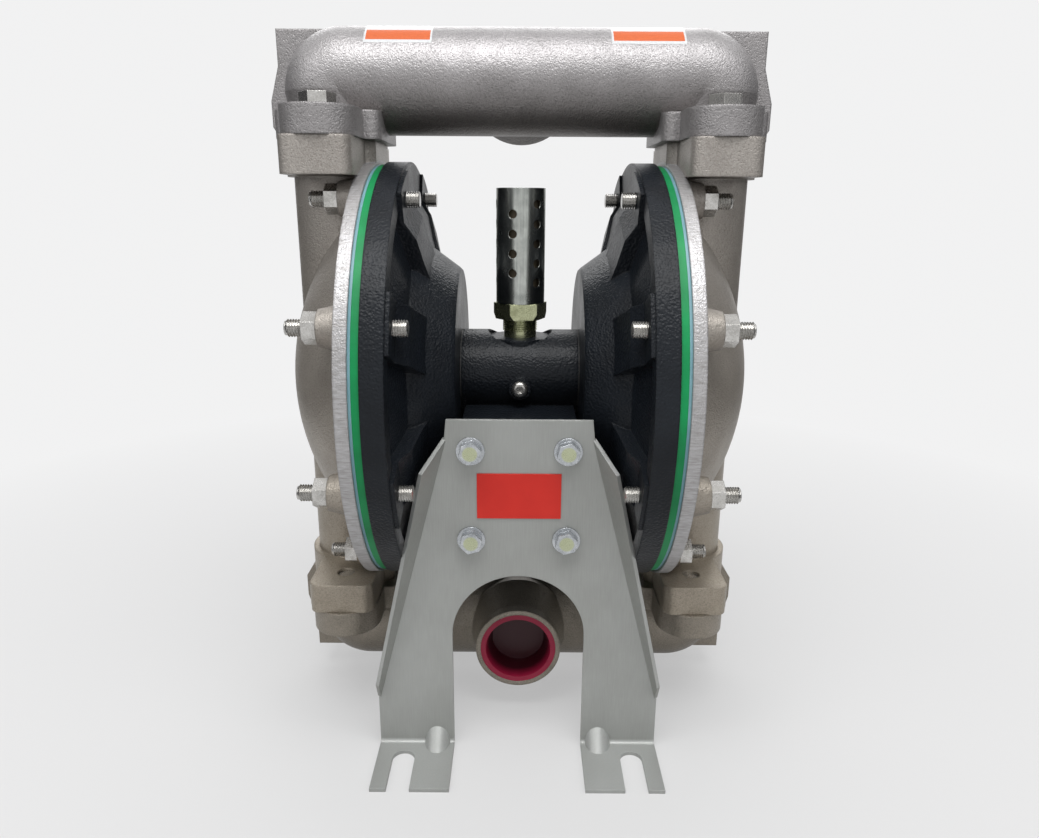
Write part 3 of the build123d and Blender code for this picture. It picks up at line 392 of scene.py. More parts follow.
# Shares of the layers in a surface's colour and in its height.
CAST_COLOUR = (0.3, 0.45, 0.25)
CAST_HEIGHT = (0.5, 0.7, 0.35)
PAINT_HEIGHT = (0.8, 0.6)
PLATED_COLOUR = (0.6, 0.4)
ROLLED_COLOUR = (0.6, 0.25, 0.15)
ROLLED_HEIGHT = (0.4, 0.6)

# Scales of the layers against the grain.
CAST_LUMPS = 0.25
CAST_PITS = 0.55
PAINT_PEEL = 0.5
PAINT_LUMPS = 0.3
ROLLED_SPECK = 1.3

PIT_RANGE = (0.05, 0.45)
DRAWN_UPRIGHT = (1.0, 1.0, 0.05)


@dataclass(frozen=True)
class Finish:
    """One surface finish.

    Lengths are in metres. The light and dark colours are mixed by patches and by fine grain, and
    the two roughnesses are those of the light and of the dark.
    """

    name: str
    surface: Surface
    light: Colour
    dark: Colour
    metallic: float = 0.0
    roughness: Pair = (0.35, 0.5)
    coat: float = 0.0
    specular: float = 0.5
    patch: float = 0.03
    grain: float = 0.0009
    relief: float = 0.00025
    edge: float = 0.0008
    low_tint: Colour = NO_TINT
    # Painted shade: tint that darkens the surfaces which face down.
    painted_under_shade: Colour = NO_TINT

    def material(self) -> bpy.types.Material:
        """Build the material for this finish.

        Returns:
            The material.
        """
        tree = ShaderTree(bpy.data.materials.new(self.name))
        patches = tree.noise(1 / self.patch, octaves=4.0).stretched(*BROAD)
        makers = {
            Surface.CAST: self._cast, Surface.PAINT: self._paint, Surface.PLATED: self._plated,
            Surface.ROLLED: self._rolled, Surface.MOULDED: self._moulded,
        }
        mask, height = makers[self.surface](tree, patches)
        colour = tree.mix(mask, self.dark, self.light)
        if self.low_tint != NO_TINT:
            low = 1 - tree.place(Axis.Z).stretched(*LOW_HEIGHTS)
            colour = tree.tinted(low, colour, self.low_tint)
        # Painted shade: surfaces that face down are darkened in their colour.
        if self.painted_under_shade != NO_TINT:
            under = 1 - tree.slope(Axis.Z).stretched(*UNDER_SHADE_SLOPES)
            colour = tree.tinted(under, colour, self.painted_under_shade)
        colour = self._details(tree, colour)
        smooth, rough = self.roughness
        roughness = smooth + (1 - mask) * (rough - smooth)
        tree.finish(
            colour, roughness, self.metallic, self.coat, height, self.relief, self.edge,
            self.specular,
        )
        return tree.owner

    def _details(self, tree: ShaderTree, colour: bpy.types.NodeSocket) -> bpy.types.NodeSocket:
        """Colour of what only one kind of piece has; a plain finish has nothing.

        Args:
            tree: Tree to build in.
            colour: Colour so far.

        Returns:
            The colour with its details.
        """
        return colour

    def _cast(self, tree: ShaderTree, patches: Value) -> tuple[Value, Value]:
        """Blasted sand casting: peened grain with darker pits.

        Args:
            tree: Tree to build in.
            patches: Broad patches.

        Returns:
            Colour mask and height.
        """
        grain = tree.noise(1 / self.grain, octaves=3.0)
        lumps = tree.noise(CAST_LUMPS / self.grain)
        pits = tree.cells(CAST_PITS / self.grain).stretched(*PIT_RANGE)
        mask = weighed(CAST_COLOUR, patches, grain.stretched(*BROAD), pits).clamp()
        return mask, weighed(CAST_HEIGHT, grain, lumps, pits)

    def _paint(self, tree: ShaderTree, patches: Value) -> tuple[Value, Value]:
        """Sprayed paint with orange peel over a cast surface.

        Args:
            tree: Tree to build in.
            patches: Broad patches.

        Returns:
            Colour mask and height.
        """
        peel = tree.cells(PAINT_PEEL / self.grain)
        lumps = tree.noise(PAINT_LUMPS / self.grain)
        return patches, weighed(PAINT_HEIGHT, peel, lumps)

    def _plated(self, tree: ShaderTree, patches: Value) -> tuple[Value, Value]:
        """Bright plating with faint clouding and handling marks.

        Args:
            tree: Tree to build in.
            patches: Broad patches.

        Returns:
            Colour mask and height.
        """
        marks = tree.noise(1 / self.grain, octaves=5.0)
        return weighed(PLATED_COLOUR, patches, marks.stretched(*NARROW)).clamp(), marks

    def _rolled(self, tree: ShaderTree, patches: Value) -> tuple[Value, Value]:
        """Rolled sheet under a thin satin coat, with upright drawing lines.

        Args:
            tree: Tree to build in.
            patches: Broad patches.

        Returns:
            Colour mask and height.
        """
        lines = tree.noise(1 / self.grain, octaves=3.0, stretch=DRAWN_UPRIGHT)
        speck = tree.noise(ROLLED_SPECK / self.grain)
        mask = weighed(ROLLED_COLOUR, patches, lines.stretched(*NARROW), speck).clamp()
        return mask, weighed(ROLLED_HEIGHT, lines, speck)

    def _moulded(self, tree: ShaderTree, patches: Value) -> tuple[Value, Value]:
        """Moulded rubber or plastic with a faint texture.

        Args:
            tree: Tree to build in.
            patches: Broad patches.

        Returns:
            Colour mask and height.
        """
        return patches, tree.noise(1 / self.grain)


@dataclass(frozen=True)
class MachinedRim(Finish):
    """Cast finish of a chamber whose rim is turned bright around its edge."""

    rim_radius: float = 167.0 * MM
    rim_margin: float = 1.0 * MM
    rim_back: float = 124.0 * MM
    tool_marks: float = 900.0
    round_the_rim: Triple = (0.15, 1.0, 1.0)
    bright: Colour = (0.47, 0.465, 0.475)
    turned: Colour = (0.30, 0.29, 0.285)

    def _details(self, tree: ShaderTree, colour: bpy.types.NodeSocket) -> bpy.types.NodeSocket:
        """Turn the edge of the rim bright.

        Args:
            tree: Tree to build in.
            colour: Colour so far.

        Returns:
            The colour with a bright rim.
        """
        edge = tree.radius((0.0, 0.0, SHAFT_Z), Axis.X).within(
            self.rim_radius - self.rim_margin, self.rim_radius + self.rim_margin
        )
        rim = edge * tree.place(Axis.X).within(-self.rim_back, self.rim_back)
        marks = tree.noise(self.tool_marks, octaves=3.0, stretch=self.round_the_rim)
        metal = tree.mix(marks.stretched(*BROAD), self.turned, self.bright)
        return tree.mix(rim, colour, metal)


@dataclass(frozen=True)
class BoltHead(Finish):
    """Plated flange bolt whose dished crown has a yellow-green passivated middle."""

    flange: float = 10.5 * MM
    middle: float = 5.4 * MM
    blur: float = 0.6 * MM
    strength: float = 0.85
    crown: Colour = (0.46, 0.49, 0.30)

    def _details(self, tree: ShaderTree, colour: bpy.types.NodeSocket) -> bpy.types.NodeSocket:
        """Tint the middle of each head.

        Args:
            tree: Tree to build in.
            colour: Colour so far.

        Returns:
            The colour with tinted crowns.
        """
        low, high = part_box("leg_bolts_front")
        for x in (low.x + self.flange, high.x - self.flange):
            for z in (low.z + self.flange, high.z - self.flange):
                reach = tree.radius((x, 0.0, z), Axis.Y)
                spot = 1 - reach.stretched(self.middle - self.blur, self.middle + self.blur)
                colour = tree.mix(spot * self.strength, colour, self.crown)
        return colour


@dataclass(frozen=True)
class CupPlug(Finish):
    """Moulded cup, with painted shade that darkens it towards its closed end."""

    lip: float = 0.5 * MM
    depth: float = 9.0 * MM
    # Painted shade: colour that the cup turns towards its closed end.
    inside: Colour = (0.035, 0.002, 0.006)

    def _details(self, tree: ShaderTree, colour: bpy.types.NodeSocket) -> bpy.types.NodeSocket:
        """Paint shade into the cup, darker towards its closed end.

        Args:
            tree: Tree to build in.
            colour: Colour so far.

        Returns:
            The colour with painted shade towards the closed end.
        """
        low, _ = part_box("inlet_plug")
        # Painted shade: darker the deeper into the cup.
        painted_deep_shade = tree.place(Axis.Y).stretched(low.y + self.lip, low.y + self.depth)
        return tree.mix(painted_deep_shade, colour, self.inside)


CAST_STEEL = Finish(
    "cast_steel", Surface.CAST, (0.41, 0.395, 0.40), (0.17, 0.163, 0.162), 0.6, (0.34, 0.5),
    grain=0.0008, relief=0.00045, edge=0.0022, low_tint=(0.86, 0.80, 0.66),
    painted_under_shade=(0.42, 0.40, 0.37),
)
CAST_CHAMBER = MachinedRim(
    "cast_chamber", Surface.CAST, (0.48, 0.45, 0.42), (0.21, 0.19, 0.17), 0.6, (0.34, 0.5),
    grain=0.0008, relief=0.0004, edge=0.0018, low_tint=(0.88, 0.83, 0.72),
    painted_under_shade=(0.42, 0.39, 0.36),
)
PAINTED_CASTING = Finish(
    "painted_casting", Surface.PAINT, (0.010, 0.0125, 0.0165), (0.0055, 0.007, 0.0095), 0.0,
    (0.34, 0.44), coat=0.05, specular=0.18, grain=0.0008, relief=0.0006, edge=0.0018,
)
PAINTED_SPOOL = Finish(
    "painted_aluminium", Surface.PLATED, (0.09, 0.09, 0.10), (0.05, 0.05, 0.06), 0.6, (0.3, 0.4)
)
ZINC = Finish(
    "zinc_steel", Surface.PLATED, (0.66, 0.65, 0.63), (0.34, 0.33, 0.31), 0.95, (0.20, 0.36),
    patch=0.008, relief=0.00006, edge=0.0006,
)
LEG_BOLT = BoltHead(
    "leg_bolt_zinc", Surface.PLATED, (0.60, 0.62, 0.64), (0.32, 0.34, 0.36), 0.9, (0.18, 0.32),
    patch=0.006, relief=0.00005, edge=0.0006,
)
YELLOW_ZINC = Finish(
    "yellow_zinc", Surface.PLATED, (0.56, 0.58, 0.38), (0.24, 0.25, 0.14), 0.95, (0.20, 0.34),
    patch=0.010, relief=0.00006, edge=0.0006,
)
BRIGHT_TUBE = Finish(
    "bright_tube", Surface.ROLLED, (0.56, 0.58, 0.55), (0.24, 0.255, 0.24), 1.0, (0.18, 0.30),
    patch=0.012, grain=0.0016, relief=0.00003, edge=0.0006,
)
LEG_STEEL = Finish(
    "leg_steel", Surface.ROLLED, (0.41, 0.422, 0.412), (0.32, 0.328, 0.315), 0.35, (0.36, 0.5),
    patch=0.06, grain=0.0009, relief=0.00005, edge=0.0007, painted_under_shade=(0.5, 0.48, 0.42),
)
GREEN_RUBBER = Finish(
    "green_rubber", Surface.MOULDED, (0.003, 0.29, 0.085), (0.002, 0.20, 0.06), 0.0, (0.4, 0.55),
    specular=0.3, edge=0.0006, relief=0.00006,
)
WHITE_PTFE = Finish(
    "white_ptfe", Surface.MOULDED, (0.20, 0.38, 0.43), (0.14, 0.29, 0.34), 0.0, (0.35, 0.45),
    edge=0.0004, relief=0.00004,
)
BLACK_RUBBER = Finish(
    "black_rubber", Surface.MOULDED, (0.03, 0.03, 0.03), (0.02, 0.02, 0.02), 0.0, (0.5, 0.7)
)
BRONZE = Finish(
    "bronze", Surface.PLATED, (0.10, 0.08, 0.05), (0.05, 0.04, 0.028), 0.6, (0.45, 0.6)
)
WHITE_PLASTIC = Finish(
    "plastic_white", Surface.MOULDED, (0.80, 0.80, 0.77), (0.70, 0.70, 0.67), 0.0, (0.4, 0.5)
)
RED_PLASTIC = CupPlug(
    "red_plastic", Surface.MOULDED, (0.34, 0.012, 0.05), (0.26, 0.008, 0.036), 0.0, (0.32, 0.45),
    specular=0.35, edge=0.0005, relief=0.00005,
)
RED_PLATE = Finish(
    "plate_red", Surface.MOULDED, (0.66, 0.028, 0.018), (0.58, 0.022, 0.014), 0.0, (0.35, 0.45),
    specular=0.3, edge=0.0003, relief=0.00002,
)
GROUND_STEEL = Finish(
    "ground_steel", Surface.PLATED, (0.66, 0.65, 0.64), (0.50, 0.49, 0.48), 1.0, (0.16, 0.26),
    relief=0.00003,
)

# Finish of each material slot of the record.
SLOT_FINISHES = {
    finish.name: finish
    for finish in (
        CAST_STEEL, PAINTED_CASTING, PAINTED_SPOOL, ZINC, YELLOW_ZINC, LEG_STEEL, GREEN_RUBBER,
        WHITE_PTFE, BLACK_RUBBER, BRONZE, WHITE_PLASTIC, RED_PLASTIC, RED_PLATE, GROUND_STEEL,
    )
}

# Solids whose finish differs from that of their slot.
OWN_FINISHES = {
    "fluid_cap_left": CAST_CHAMBER, "fluid_cap_right": CAST_CHAMBER,
    "leg_bolts_front": LEG_BOLT, "leg_bolts_rear": LEG_BOLT,
    "silencer_tube": BRIGHT_TUBE, "silencer_cap": BRIGHT_TUBE,
}


class Palette:
    """Builds each finish once and hands it out."""

    def __init__(self) -> None:
        """Start with nothing built."""
        self._made: dict[str, bpy.types.Material] = {}

    def __getitem__(self, finish: Finish) -> bpy.types.Material:
        """Look a finish up, and build it the first time.

        Args:
            finish: The finish.

        Returns:
            Its material.
        """
        if finish.name not in self._made:
            self._made[finish.name] = finish.material()
        return self._made[finish.name]


# ------------------------------------------------------------------ pieces
def add_object(name: str, mesh: bmesh.types.BMesh) -> bpy.types.Object:
    """Turn a bmesh into an object of the scene.

    Args:
        name: Name of the object.
        mesh: Its shape, in place. It is freed.

    Returns:
        The object, at the origin.
    """
    data = bpy.data.meshes.new(name)
    mesh.to_mesh(data)
    mesh.free()
    made = bpy.data.objects.new(name, data)
    bpy.context.scene.collection.objects.link(made)
    return made


def add_piece(
    name: str, mesh: bmesh.types.BMesh, material: bpy.types.Material, body: Optional[str],
) -> bpy.types.Object:
    """Turn a bmesh into a piece of the pump.

    Args:
        name: Name of the piece.
        mesh: Its shape, in place. It is freed.
        material: Its material.
        body: Body that it rides on, or nothing.

    Returns:
        The piece.
    """
    bmesh.ops.recalc_face_normals(mesh, faces=mesh.faces[:])
    piece = add_object(name, mesh)
    piece.data.materials.append(material)
    if body is not None:
        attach(piece, body)
    LOG.info("piece %s rides on %s", name, body or "two bodies")
    return piece


@dataclass
class Castings:
    """Carried over solids, each with the finish of its material slot or its own."""

    palette: Palette

    def dress(self) -> None:
        """Give every solid of the frame its finish."""
        slots = {part["node"]: part["material_slot"] for part in frame["record"]["subparts"]}
        for name, solid in frame["nodes"].items():
            material = self.palette[OWN_FINISHES.get(name, SLOT_FINISHES[slots[name]])]
            solid.data.materials.clear()
            solid.data.materials.append(material)
            LOG.info("solid %s has finish %s", name, material.name)


@dataclass(frozen=True)
class Thread:
    """A rolled thread, made of rings that climb as they go round.

    A ring climbs by a little under one pitch, and stays short of the ends of the bar by the guard.
    """

    radius: float
    pitch: float
    depth: float
    chamfer: float
    sides: int
    climb: float = 0.9
    guard: float = 0.1 * MM

    def cut(self, mesh: bmesh.types.BMesh, length: float, place: Matrix) -> None:
        """Add a threaded bar that stands on the origin along +Z before it is placed.

        Args:
            mesh: Mesh to add to.
            length: Length of the bar.
            place: Where the bar goes.
        """
        end = self.radius - self.chamfer
        made = bmesh.ops.create_circle(mesh, cap_ends=True, segments=self.sides, radius=end)
        ring = made["verts"]
        rows = round(length / (self.pitch / 2))
        every = list(ring)
        for row in range(1, rows + 1):
            grown = bmesh.ops.extrude_edge_only(mesh, edges=self._rim(ring))["geom"]
            ring = [item for item in grown if isinstance(item, bmesh.types.BMVert)]
            bmesh.ops.translate(mesh, verts=ring, vec=(0, 0, length / rows))
            reach = self.radius if row % 2 else self.radius - self.depth
            if row == rows:
                reach = end
            for vert in ring:
                flat = Vector((vert.co.x, vert.co.y, 0)).normalized() * reach
                vert.co.x, vert.co.y = flat.x, flat.y
            every += ring
        bmesh.ops.contextual_create(mesh, geom=self._rim(ring))
        for vert in every[self.sides:-self.sides]:
            turn = math.atan2(vert.co.y, vert.co.x) / FULL_TURN
            lifted = vert.co.z + turn * self.pitch * self.climb
            vert.co.z = min(max(lifted, self.guard), length - self.guard)
        bmesh.ops.transform(mesh, matrix=place, verts=every)

    @staticmethod
    def _rim(ring: list[bmesh.types.BMVert]) -> list[bmesh.types.BMEdge]:
        """Edges that join the vertices of a ring.

        Args:
            ring: Vertices of the ring.

        Returns:
            The edges.
        """
        members = set(ring)
        edges = {edge for vert in ring for edge in vert.link_edges}
        return [edge for edge in edges if set(edge.verts) <= members]


@dataclass
class Studs:
    """Threaded clamping studs, which stand in for the plain solids."""

    palette: Palette
    thread: Thread = Thread(
        radius=6.0 * MM, pitch=1.75 * MM, depth=0.95 * MM, chamfer=1.2 * MM, sides=14
    )
    count: int = 8
    circle: float = 150.0 * MM

    def build(self) -> None:
        """Make the studs of both chambers."""
        for side, sign in (("right", 1), ("left", -1)):
            node = f"cap_studs_{side}"
            low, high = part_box(node)
            inner, outer = sorted((abs(low.x), abs(high.x)))
            mesh = bmesh.new()
            for index in range(self.count):
                self._stud(mesh, inner, outer, sign, FULL_TURN * (index + 0.5) / self.count)
            piece = add_piece(
                f"threaded_studs_{side}", mesh, self.palette[ZINC], "casing"
            )
            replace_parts(piece, node)

    def _stud(
        self, mesh: bmesh.types.BMesh, inner: float, outer: float, sign: int, angle: float
    ) -> None:
        """Add one stud.

        Args:
            mesh: Mesh to add to.
            inner: Distance of the inner end from the middle of the pump.
            outer: Distance of the outer end.
            sign: Side of the pump.
            angle: Place on the bolt circle.
        """
        y = self.circle * math.cos(angle)
        z = SHAFT_Z + self.circle * math.sin(angle)
        turn = Matrix.Rotation(sign * math.pi / 2, 4, "Y")
        self.thread.cut(mesh, outer - inner, Matrix.Translation((sign * inner, y, z)) @ turn)


@dataclass
class SilencerThread:
    """Thread that shows between the silencer's hexagon and the boss that it is screwed into."""

    palette: Palette
    thread: Thread = Thread(
        radius=14.2 * MM, pitch=1.8 * MM, depth=1.2 * MM, chamfer=1.0 * MM, sides=32
    )
    neck: float = 15.0 * MM

    def build(self) -> None:
        """Make the exposed thread."""
        low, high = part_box("silencer_base")
        _, body_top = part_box("centre_body")
        middle = (low + high) / 2
        foot = (middle.x, middle.y, body_top.z)
        mesh = bmesh.new()
        self.thread.cut(mesh, self.neck, Matrix.Translation(foot))
        add_piece("silencer_thread", mesh, self.palette[YELLOW_ZINC], "casing")


@dataclass
class Diaphragms:
    """Rubber diaphragms and their facings, clamped at the rim.

    The clamped ring of each layer is one piece. The part that flexes is cut into equal sectors,
    which ride on no body. Faces are distances from the middle of the pump.
    """

    palette: Palette
    rim_radius: float = 165.0 * MM
    clamp_radius: float = 133.0 * MM
    free_radius: float = 123.0 * MM
    plate_radius: float = 77.0 * MM
    bore_radius: float = 8.3 * MM
    fold_radius: float = 105.0 * MM
    fold_half: float = 20.0 * MM
    fold_rise: float = 12.0 * MM
    fold_steps: int = 8
    faces: Triple = (102.0 * MM, 107.5 * MM, 109.5 * MM)
    sectors: int = 8
    sector_steps: int = 12
    ring_steps: int = 240
    weld: float = 0.01 * MM

    def build(self) -> None:
        """Make both layers of both sides."""
        layers = (("diaphragm", GREEN_RUBBER), ("diaphragm_overlay", WHITE_PTFE))
        for side, sign in (("right", 1), ("left", -1)):
            for index, (layer, finish) in enumerate(layers):
                inner, outer = sign * self.faces[index], sign * self.faces[index + 1]
                self._layer(f"{layer}_{side}", inner, outer, sign, finish)

    def _layer(self, node: str, inner: float, outer: float, sign: int, finish: Finish) -> None:
        """Make one layer.

        Args:
            node: Solid that the layer stands for.
            inner: Place of its face towards the middle of the pump.
            outer: Place of its other face.
            sign: Side of the pump.
            finish: Its finish.
        """
        material = self.palette[finish]
        clamped = [
            (inner, self.rim_radius), (outer, self.rim_radius), (outer, self.clamp_radius),
            (inner, self.clamp_radius),
        ]
        ring = self._turned(clamped, 0.0, FULL_TURN, self.ring_steps)
        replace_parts(add_piece(f"{node}_clamped_ring", ring, material, "casing"), node)
        profile = self._flank(outer, sign) + self._flank(inner, sign)[::-1]
        share = FULL_TURN / self.sectors
        centre = Vector((0.0, 0.0, SHAFT_Z))
        for number in range(self.sectors):
            start = share * number
            mesh = self._turned(profile, start, share, self.sector_steps)
            piece = add_piece(f"{node}_sector_{number + 1}", mesh, material, None)
            middle = start + share / 2
            out = Vector((0.0, -math.sin(middle), math.cos(middle)))
            tuple(centre + out * self.free_radius)
            tuple(centre + out * self.plate_radius)
            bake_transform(piece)
            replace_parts(piece, node)

    def _flank(self, face: float, sign: int) -> list[Pair]:
        """Line of one face from the clamped ring to the bore, as (x, radius).

        Args:
            face: Place of the flat part of the face.
            sign: Side of the pump, towards which the fold rises.

        Returns:
            The points of the line.
        """
        bend = (self.fold_half ** 2 + self.fold_rise ** 2) / (2 * self.fold_rise)
        half = math.asin(self.fold_half / bend)
        fold = []
        for step in range(self.fold_steps + 1):
            angle = half * (1 - 2 * step / self.fold_steps)
            rise = bend * math.cos(angle) - bend + self.fold_rise
            fold.append((face + sign * rise, self.fold_radius + bend * math.sin(angle)))
        return [(face, self.clamp_radius), *fold, (face, self.bore_radius)]

    def _turned(
        self, profile: list[Pair], start: float, angle: float, steps: int
    ) -> bmesh.types.BMesh:
        """Turn a closed profile about the shaft axis and close its ends.

        Args:
            profile: Points as (x, radius).
            start: Angle at which the turn starts.
            angle: Angle of the turn.
            steps: Number of steps.

        Returns:
            The turned shape.
        """
        mesh = bmesh.new()
        centre = (0.0, 0.0, SHAFT_Z)
        loop = [mesh.verts.new((x, 0.0, SHAFT_Z + radius)) for x, radius in profile]
        edges = [mesh.edges.new(pair) for pair in zip(loop, loop[1:] + loop[:1])]
        turn = Matrix.Rotation(start, 4, "X")
        bmesh.ops.rotate(mesh, cent=centre, matrix=turn, verts=loop)
        full = math.isclose(angle, FULL_TURN)
        bmesh.ops.spin(
            mesh, geom=loop + edges, cent=centre, axis=(1, 0, 0), angle=angle, steps=steps,
            use_merge=full,
        )
        if full:
            bmesh.ops.remove_doubles(mesh, verts=mesh.verts[:], dist=self.weld)
        else:
            bmesh.ops.holes_fill(mesh, edges=mesh.edges[:], sides=0)
        return mesh


@dataclass
class Labels:
    """Two blank labels on the near side of the top tube.

    Their angles are counted upwards from the level of the tube's middle. A span is the place of a
    label along the tube, and the band is where its orange starts and ends above the middle.
    """

    tube_radius: float = 38.5 * MM
    tube_z: float = 512.0 * MM
    thickness: float = 0.25 * MM
    glue: float = 0.05 * MM
    start_deg: float = 35.5
    end_deg: float = 84.0
    steps: int = 14
    spans: tuple[Pair, Pair] = ((-114.5 * MM, -65.0 * MM), (65.0 * MM, 119.0 * MM))
    band: Pair = (24.6 * MM, 32.6 * MM)
    margin: float = 1.4 * MM
    stock: Colour = (0.58, 0.59, 0.60)
    orange: Colour = (0.56, 0.10, 0.012)
    wear: Colour = (0.88, 0.88, 0.88)
    wear_scale: float = 700.0
    wear_range: Pair = (0.25, 0.6)
    fibre_scale: float = 900.0
    fibre_depth: float = 0.02 * MM
    edge: float = 0.2 * MM
    roughness: float = 0.4
    varnish: float = 0.1

    def build(self) -> None:
        """Make both labels."""
        material = self._print()
        reach = self.tube_radius + self.glue
        for name, (x0, x1) in zip(("left", "right"), self.spans):
            mesh = bmesh.new()
            ends = [mesh.verts.new((x, -reach, self.tube_z)) for x in (x0, x1)]
            line = mesh.edges.new(ends)
            centre = (0, 0, self.tube_z)
            start = Matrix.Rotation(-math.radians(self.start_deg), 4, "X")
            bmesh.ops.rotate(mesh, cent=centre, matrix=start, verts=ends)
            bmesh.ops.spin(
                mesh, geom=[*ends, line], cent=centre, axis=(-1, 0, 0),
                angle=math.radians(self.end_deg - self.start_deg), steps=self.steps,
            )
            bmesh.ops.recalc_face_normals(mesh, faces=mesh.faces[:])
            bmesh.ops.solidify(mesh, geom=mesh.faces[:], thickness=self.thickness)
            add_piece(f"blank_label_{name}", mesh, material, "casing")

    def _print(self) -> bpy.types.Material:
        """White stock with one plain orange band inside a white margin.

        Returns:
            The material of both labels.
        """
        tree = ShaderTree(bpy.data.materials.new("label_stock"))
        low, high = self.band
        band = tree.place(Axis.Z).within(self.tube_z + low, self.tube_z + high)
        along = tree.place(Axis.X)
        left, right = (along.within(x0 + self.margin, x1 - self.margin) for x0, x1 in self.spans)
        colour = tree.mix(band * (left + right), self.stock, self.orange)
        speck = tree.noise(self.wear_scale, octaves=3.0).stretched(*self.wear_range)
        tree.finish(
            tree.tinted(1 - speck, colour, self.wear), self.roughness, coat=self.varnish,
            height=tree.noise(self.fibre_scale), depth=self.fibre_depth, edge=self.edge,
        )
        return tree.owner


# ------------------------------------------------------------------ studio
@dataclass(frozen=True)
class Lamp:
    """One soft panel: where it hangs, its width and height, its power and what it faces."""

    name: str
    place: Triple
    size: Pair
    watts: float
    target: Triple = (0.0, 0.0, 0.3)

    def hang(self) -> None:
        """Add the lamp to the scene."""
        data = bpy.data.lights.new(self.name, "AREA")
        data.shape = "RECTANGLE"
        data.size, data.size_y = self.size
        data.energy = self.watts
        lamp = bpy.data.objects.new(self.name, data)
        bpy.context.scene.collection.objects.link(lamp)
        lamp.location = self.place
        aim = Vector(self.target) - Vector(self.place)
        lamp.rotation_euler = aim.to_track_quat("-Z", "Y").to_euler()


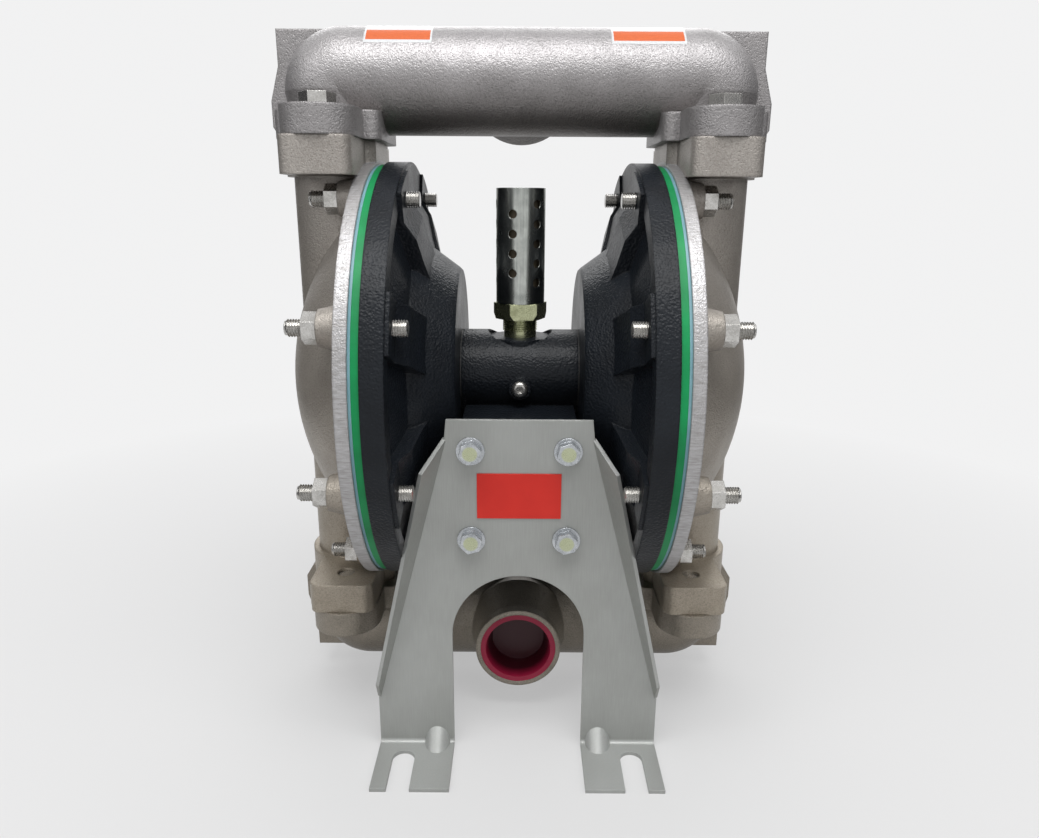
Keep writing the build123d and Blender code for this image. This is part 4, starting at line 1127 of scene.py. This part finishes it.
@dataclass
class Studio:
    """Pale floor, soft lamps and dark cards, with the camera at its measured place.

    The lit floor is darker than the paper by lit_share. Where it is looked at, it also glows as
    plain paper: in part under the pump, so that the shadow stays, and fully past the fade.
    """

    focal_px: float = 770.0
    frame_width_px: float = 1039.0
    sensor_mm: float = 36.0
    camera_place: Triple = (0.0, -0.638, 0.425)
    pitch_deg: float = 15.8
    roll_deg: float = 0.37
    lamps: tuple[Lamp, ...] = (
        Lamp("window", (0.0, -0.75, 1.85), (1.5, 0.8), 26.0),
        Lamp("left_panel", (-1.4, -0.8, 1.1), (0.6, 1.2), 7.0),
        Lamp("right_panel", (1.4, -0.8, 1.1), (0.6, 1.2), 7.0),
        Lamp("back_panel", (0.0, 1.5, 1.5), (1.8, 0.8), 12.0),
    )
    paper: Colour = (0.885, 0.885, 0.888)
    lit_share: float = 0.62
    near_glow: float = 0.45
    fade: Pair = (0.2, 1.0)
    floor_half: float = 6.0
    cloud_scale: float = 3.0
    cloud_range: Pair = (0.2, 0.8)
    cloud_share: float = 0.99
    floor_specular: float = 0.2
    ambient: float = 0.5
    card_half: Pair = (0.55, 0.95)
    card_place: Triple = (0.75, -0.1, 0.35)
    card_grey: Colour = (0.03, 0.03, 0.032)
    card_specular: float = 0.1
    matt: float = 0.9

    def build(self) -> None:
        """Set the camera, floor, lamps, cards and world."""
        self._camera()
        self._floor()
        for lamp in self.lamps:
            lamp.hang()
        for name, side in (("card_left", -1), ("card_right", 1)):
            self._card(name, side)
        self._world()
        bpy.context.scene.view_settings.view_transform = "Standard"

    def _camera(self) -> None:
        """Make the camera from its focal length, place, pitch and roll."""
        data = bpy.data.cameras.new("camera")
        data.sensor_width = self.sensor_mm
        data.lens = self.focal_px / self.frame_width_px * self.sensor_mm
        camera = bpy.data.objects.new("camera", data)
        bpy.context.scene.collection.objects.link(camera)
        turn = Matrix.Rotation(math.radians(90 - self.pitch_deg), 4, "X")
        roll = Matrix.Rotation(math.radians(self.roll_deg), 4, "Z")
        camera.matrix_world = Matrix.Translation(self.camera_place) @ turn @ roll
        bpy.context.scene.camera = camera

    def _seen(self, tree: ShaderTree) -> Value:
        """Tell apart the rays that see the paper from those that light the pump.

        Args:
            tree: Tree to build in.

        Returns:
            One where it is looked at straight, in a reflection or through glass, else zero.
        """
        path = tree.node("ShaderNodeLightPath", {}).outputs
        straight = Value(tree, path["Is Camera Ray"])
        mirrored = Value(tree, path["Is Glossy Ray"])
        through = Value(tree, path["Is Transmission Ray"])
        return (straight + mirrored + through).clamp()

    def _floor(self) -> None:
        """Lay the floor, which keeps shadows and shows as plain paper."""
        mesh = bmesh.new()
        bmesh.ops.create_grid(mesh, x_segments=1, y_segments=1, size=self.floor_half)
        floor = add_object("floor", mesh)
        tree = ShaderTree(bpy.data.materials.new("paper"))
        clouds = tree.noise(self.cloud_scale).stretched(*self.cloud_range)
        plain = tuple(self.lit_share * part for part in self.paper)
        clouded = tuple(self.cloud_share * part for part in plain)
        lit = tree.finish(
            tree.mix(clouds, plain, clouded), self.matt, specular=self.floor_specular
        )
        glow = tree.node("ShaderNodeEmission", {0: opaque(self.paper), 1: 1.0})
        far = tree.radius((0.0, 0.0, 0.0), Axis.Z).stretched(*self.fade)
        share = self._seen(tree) * (self.near_glow + far * (1 - self.near_glow))
        both = tree.node("ShaderNodeMixShader", {0: share, 1: lit, 2: glow.outputs[0]})
        tree.show(both.outputs[0])
        floor.data.materials.append(tree.owner)

    def _card(self, name: str, side: int) -> None:
        """Stand one dark card beside the pump, which only gloss picks up.

        Args:
            name: Name of the card.
            side: -1 for the left, 1 for the right.
        """
        mesh = bmesh.new()
        bmesh.ops.create_grid(mesh, x_segments=1, y_segments=1, size=1.0)
        bmesh.ops.scale(mesh, vec=(*self.card_half, 1.0), verts=mesh.verts[:])
        x, y, z = self.card_place
        upright = Matrix.Rotation(math.radians(90), 4, "Y")
        place = Matrix.Translation((side * x, y, z)) @ upright
        bmesh.ops.transform(mesh, matrix=place, verts=mesh.verts[:])
        card = add_object(name, mesh)
        card.visible_camera = False
        card.visible_diffuse = False
        card.visible_shadow = False
        tree = ShaderTree(bpy.data.materials.new(name))
        tree.finish(self.card_grey, self.matt, specular=self.card_specular)
        card.data.materials.append(tree.owner)

    def _world(self) -> None:
        """Even surrounding light, which shows as paper where it is seen."""
        tree = ShaderTree(bpy.data.worlds.new("surroundings"))
        strength = self.ambient + self._seen(tree) * (1 - self.ambient)
        light = tree.node("ShaderNodeBackground", {0: opaque(self.paper), 1: strength})
        tree.show(light.outputs[0])
        bpy.context.scene.world = tree.owner


def main() -> None:
    """Build the studio and dress the pump."""
    logging.basicConfig(level=logging.INFO, format="%(name)s: %(message)s")
    palette = Palette()
    Studio().build()
    Castings(palette).dress()
    Studs(palette).build()
    SilencerThread(palette).build()
    Diaphragms(palette).build()
    Labels().build()


if __name__ == "__main__":
    main()
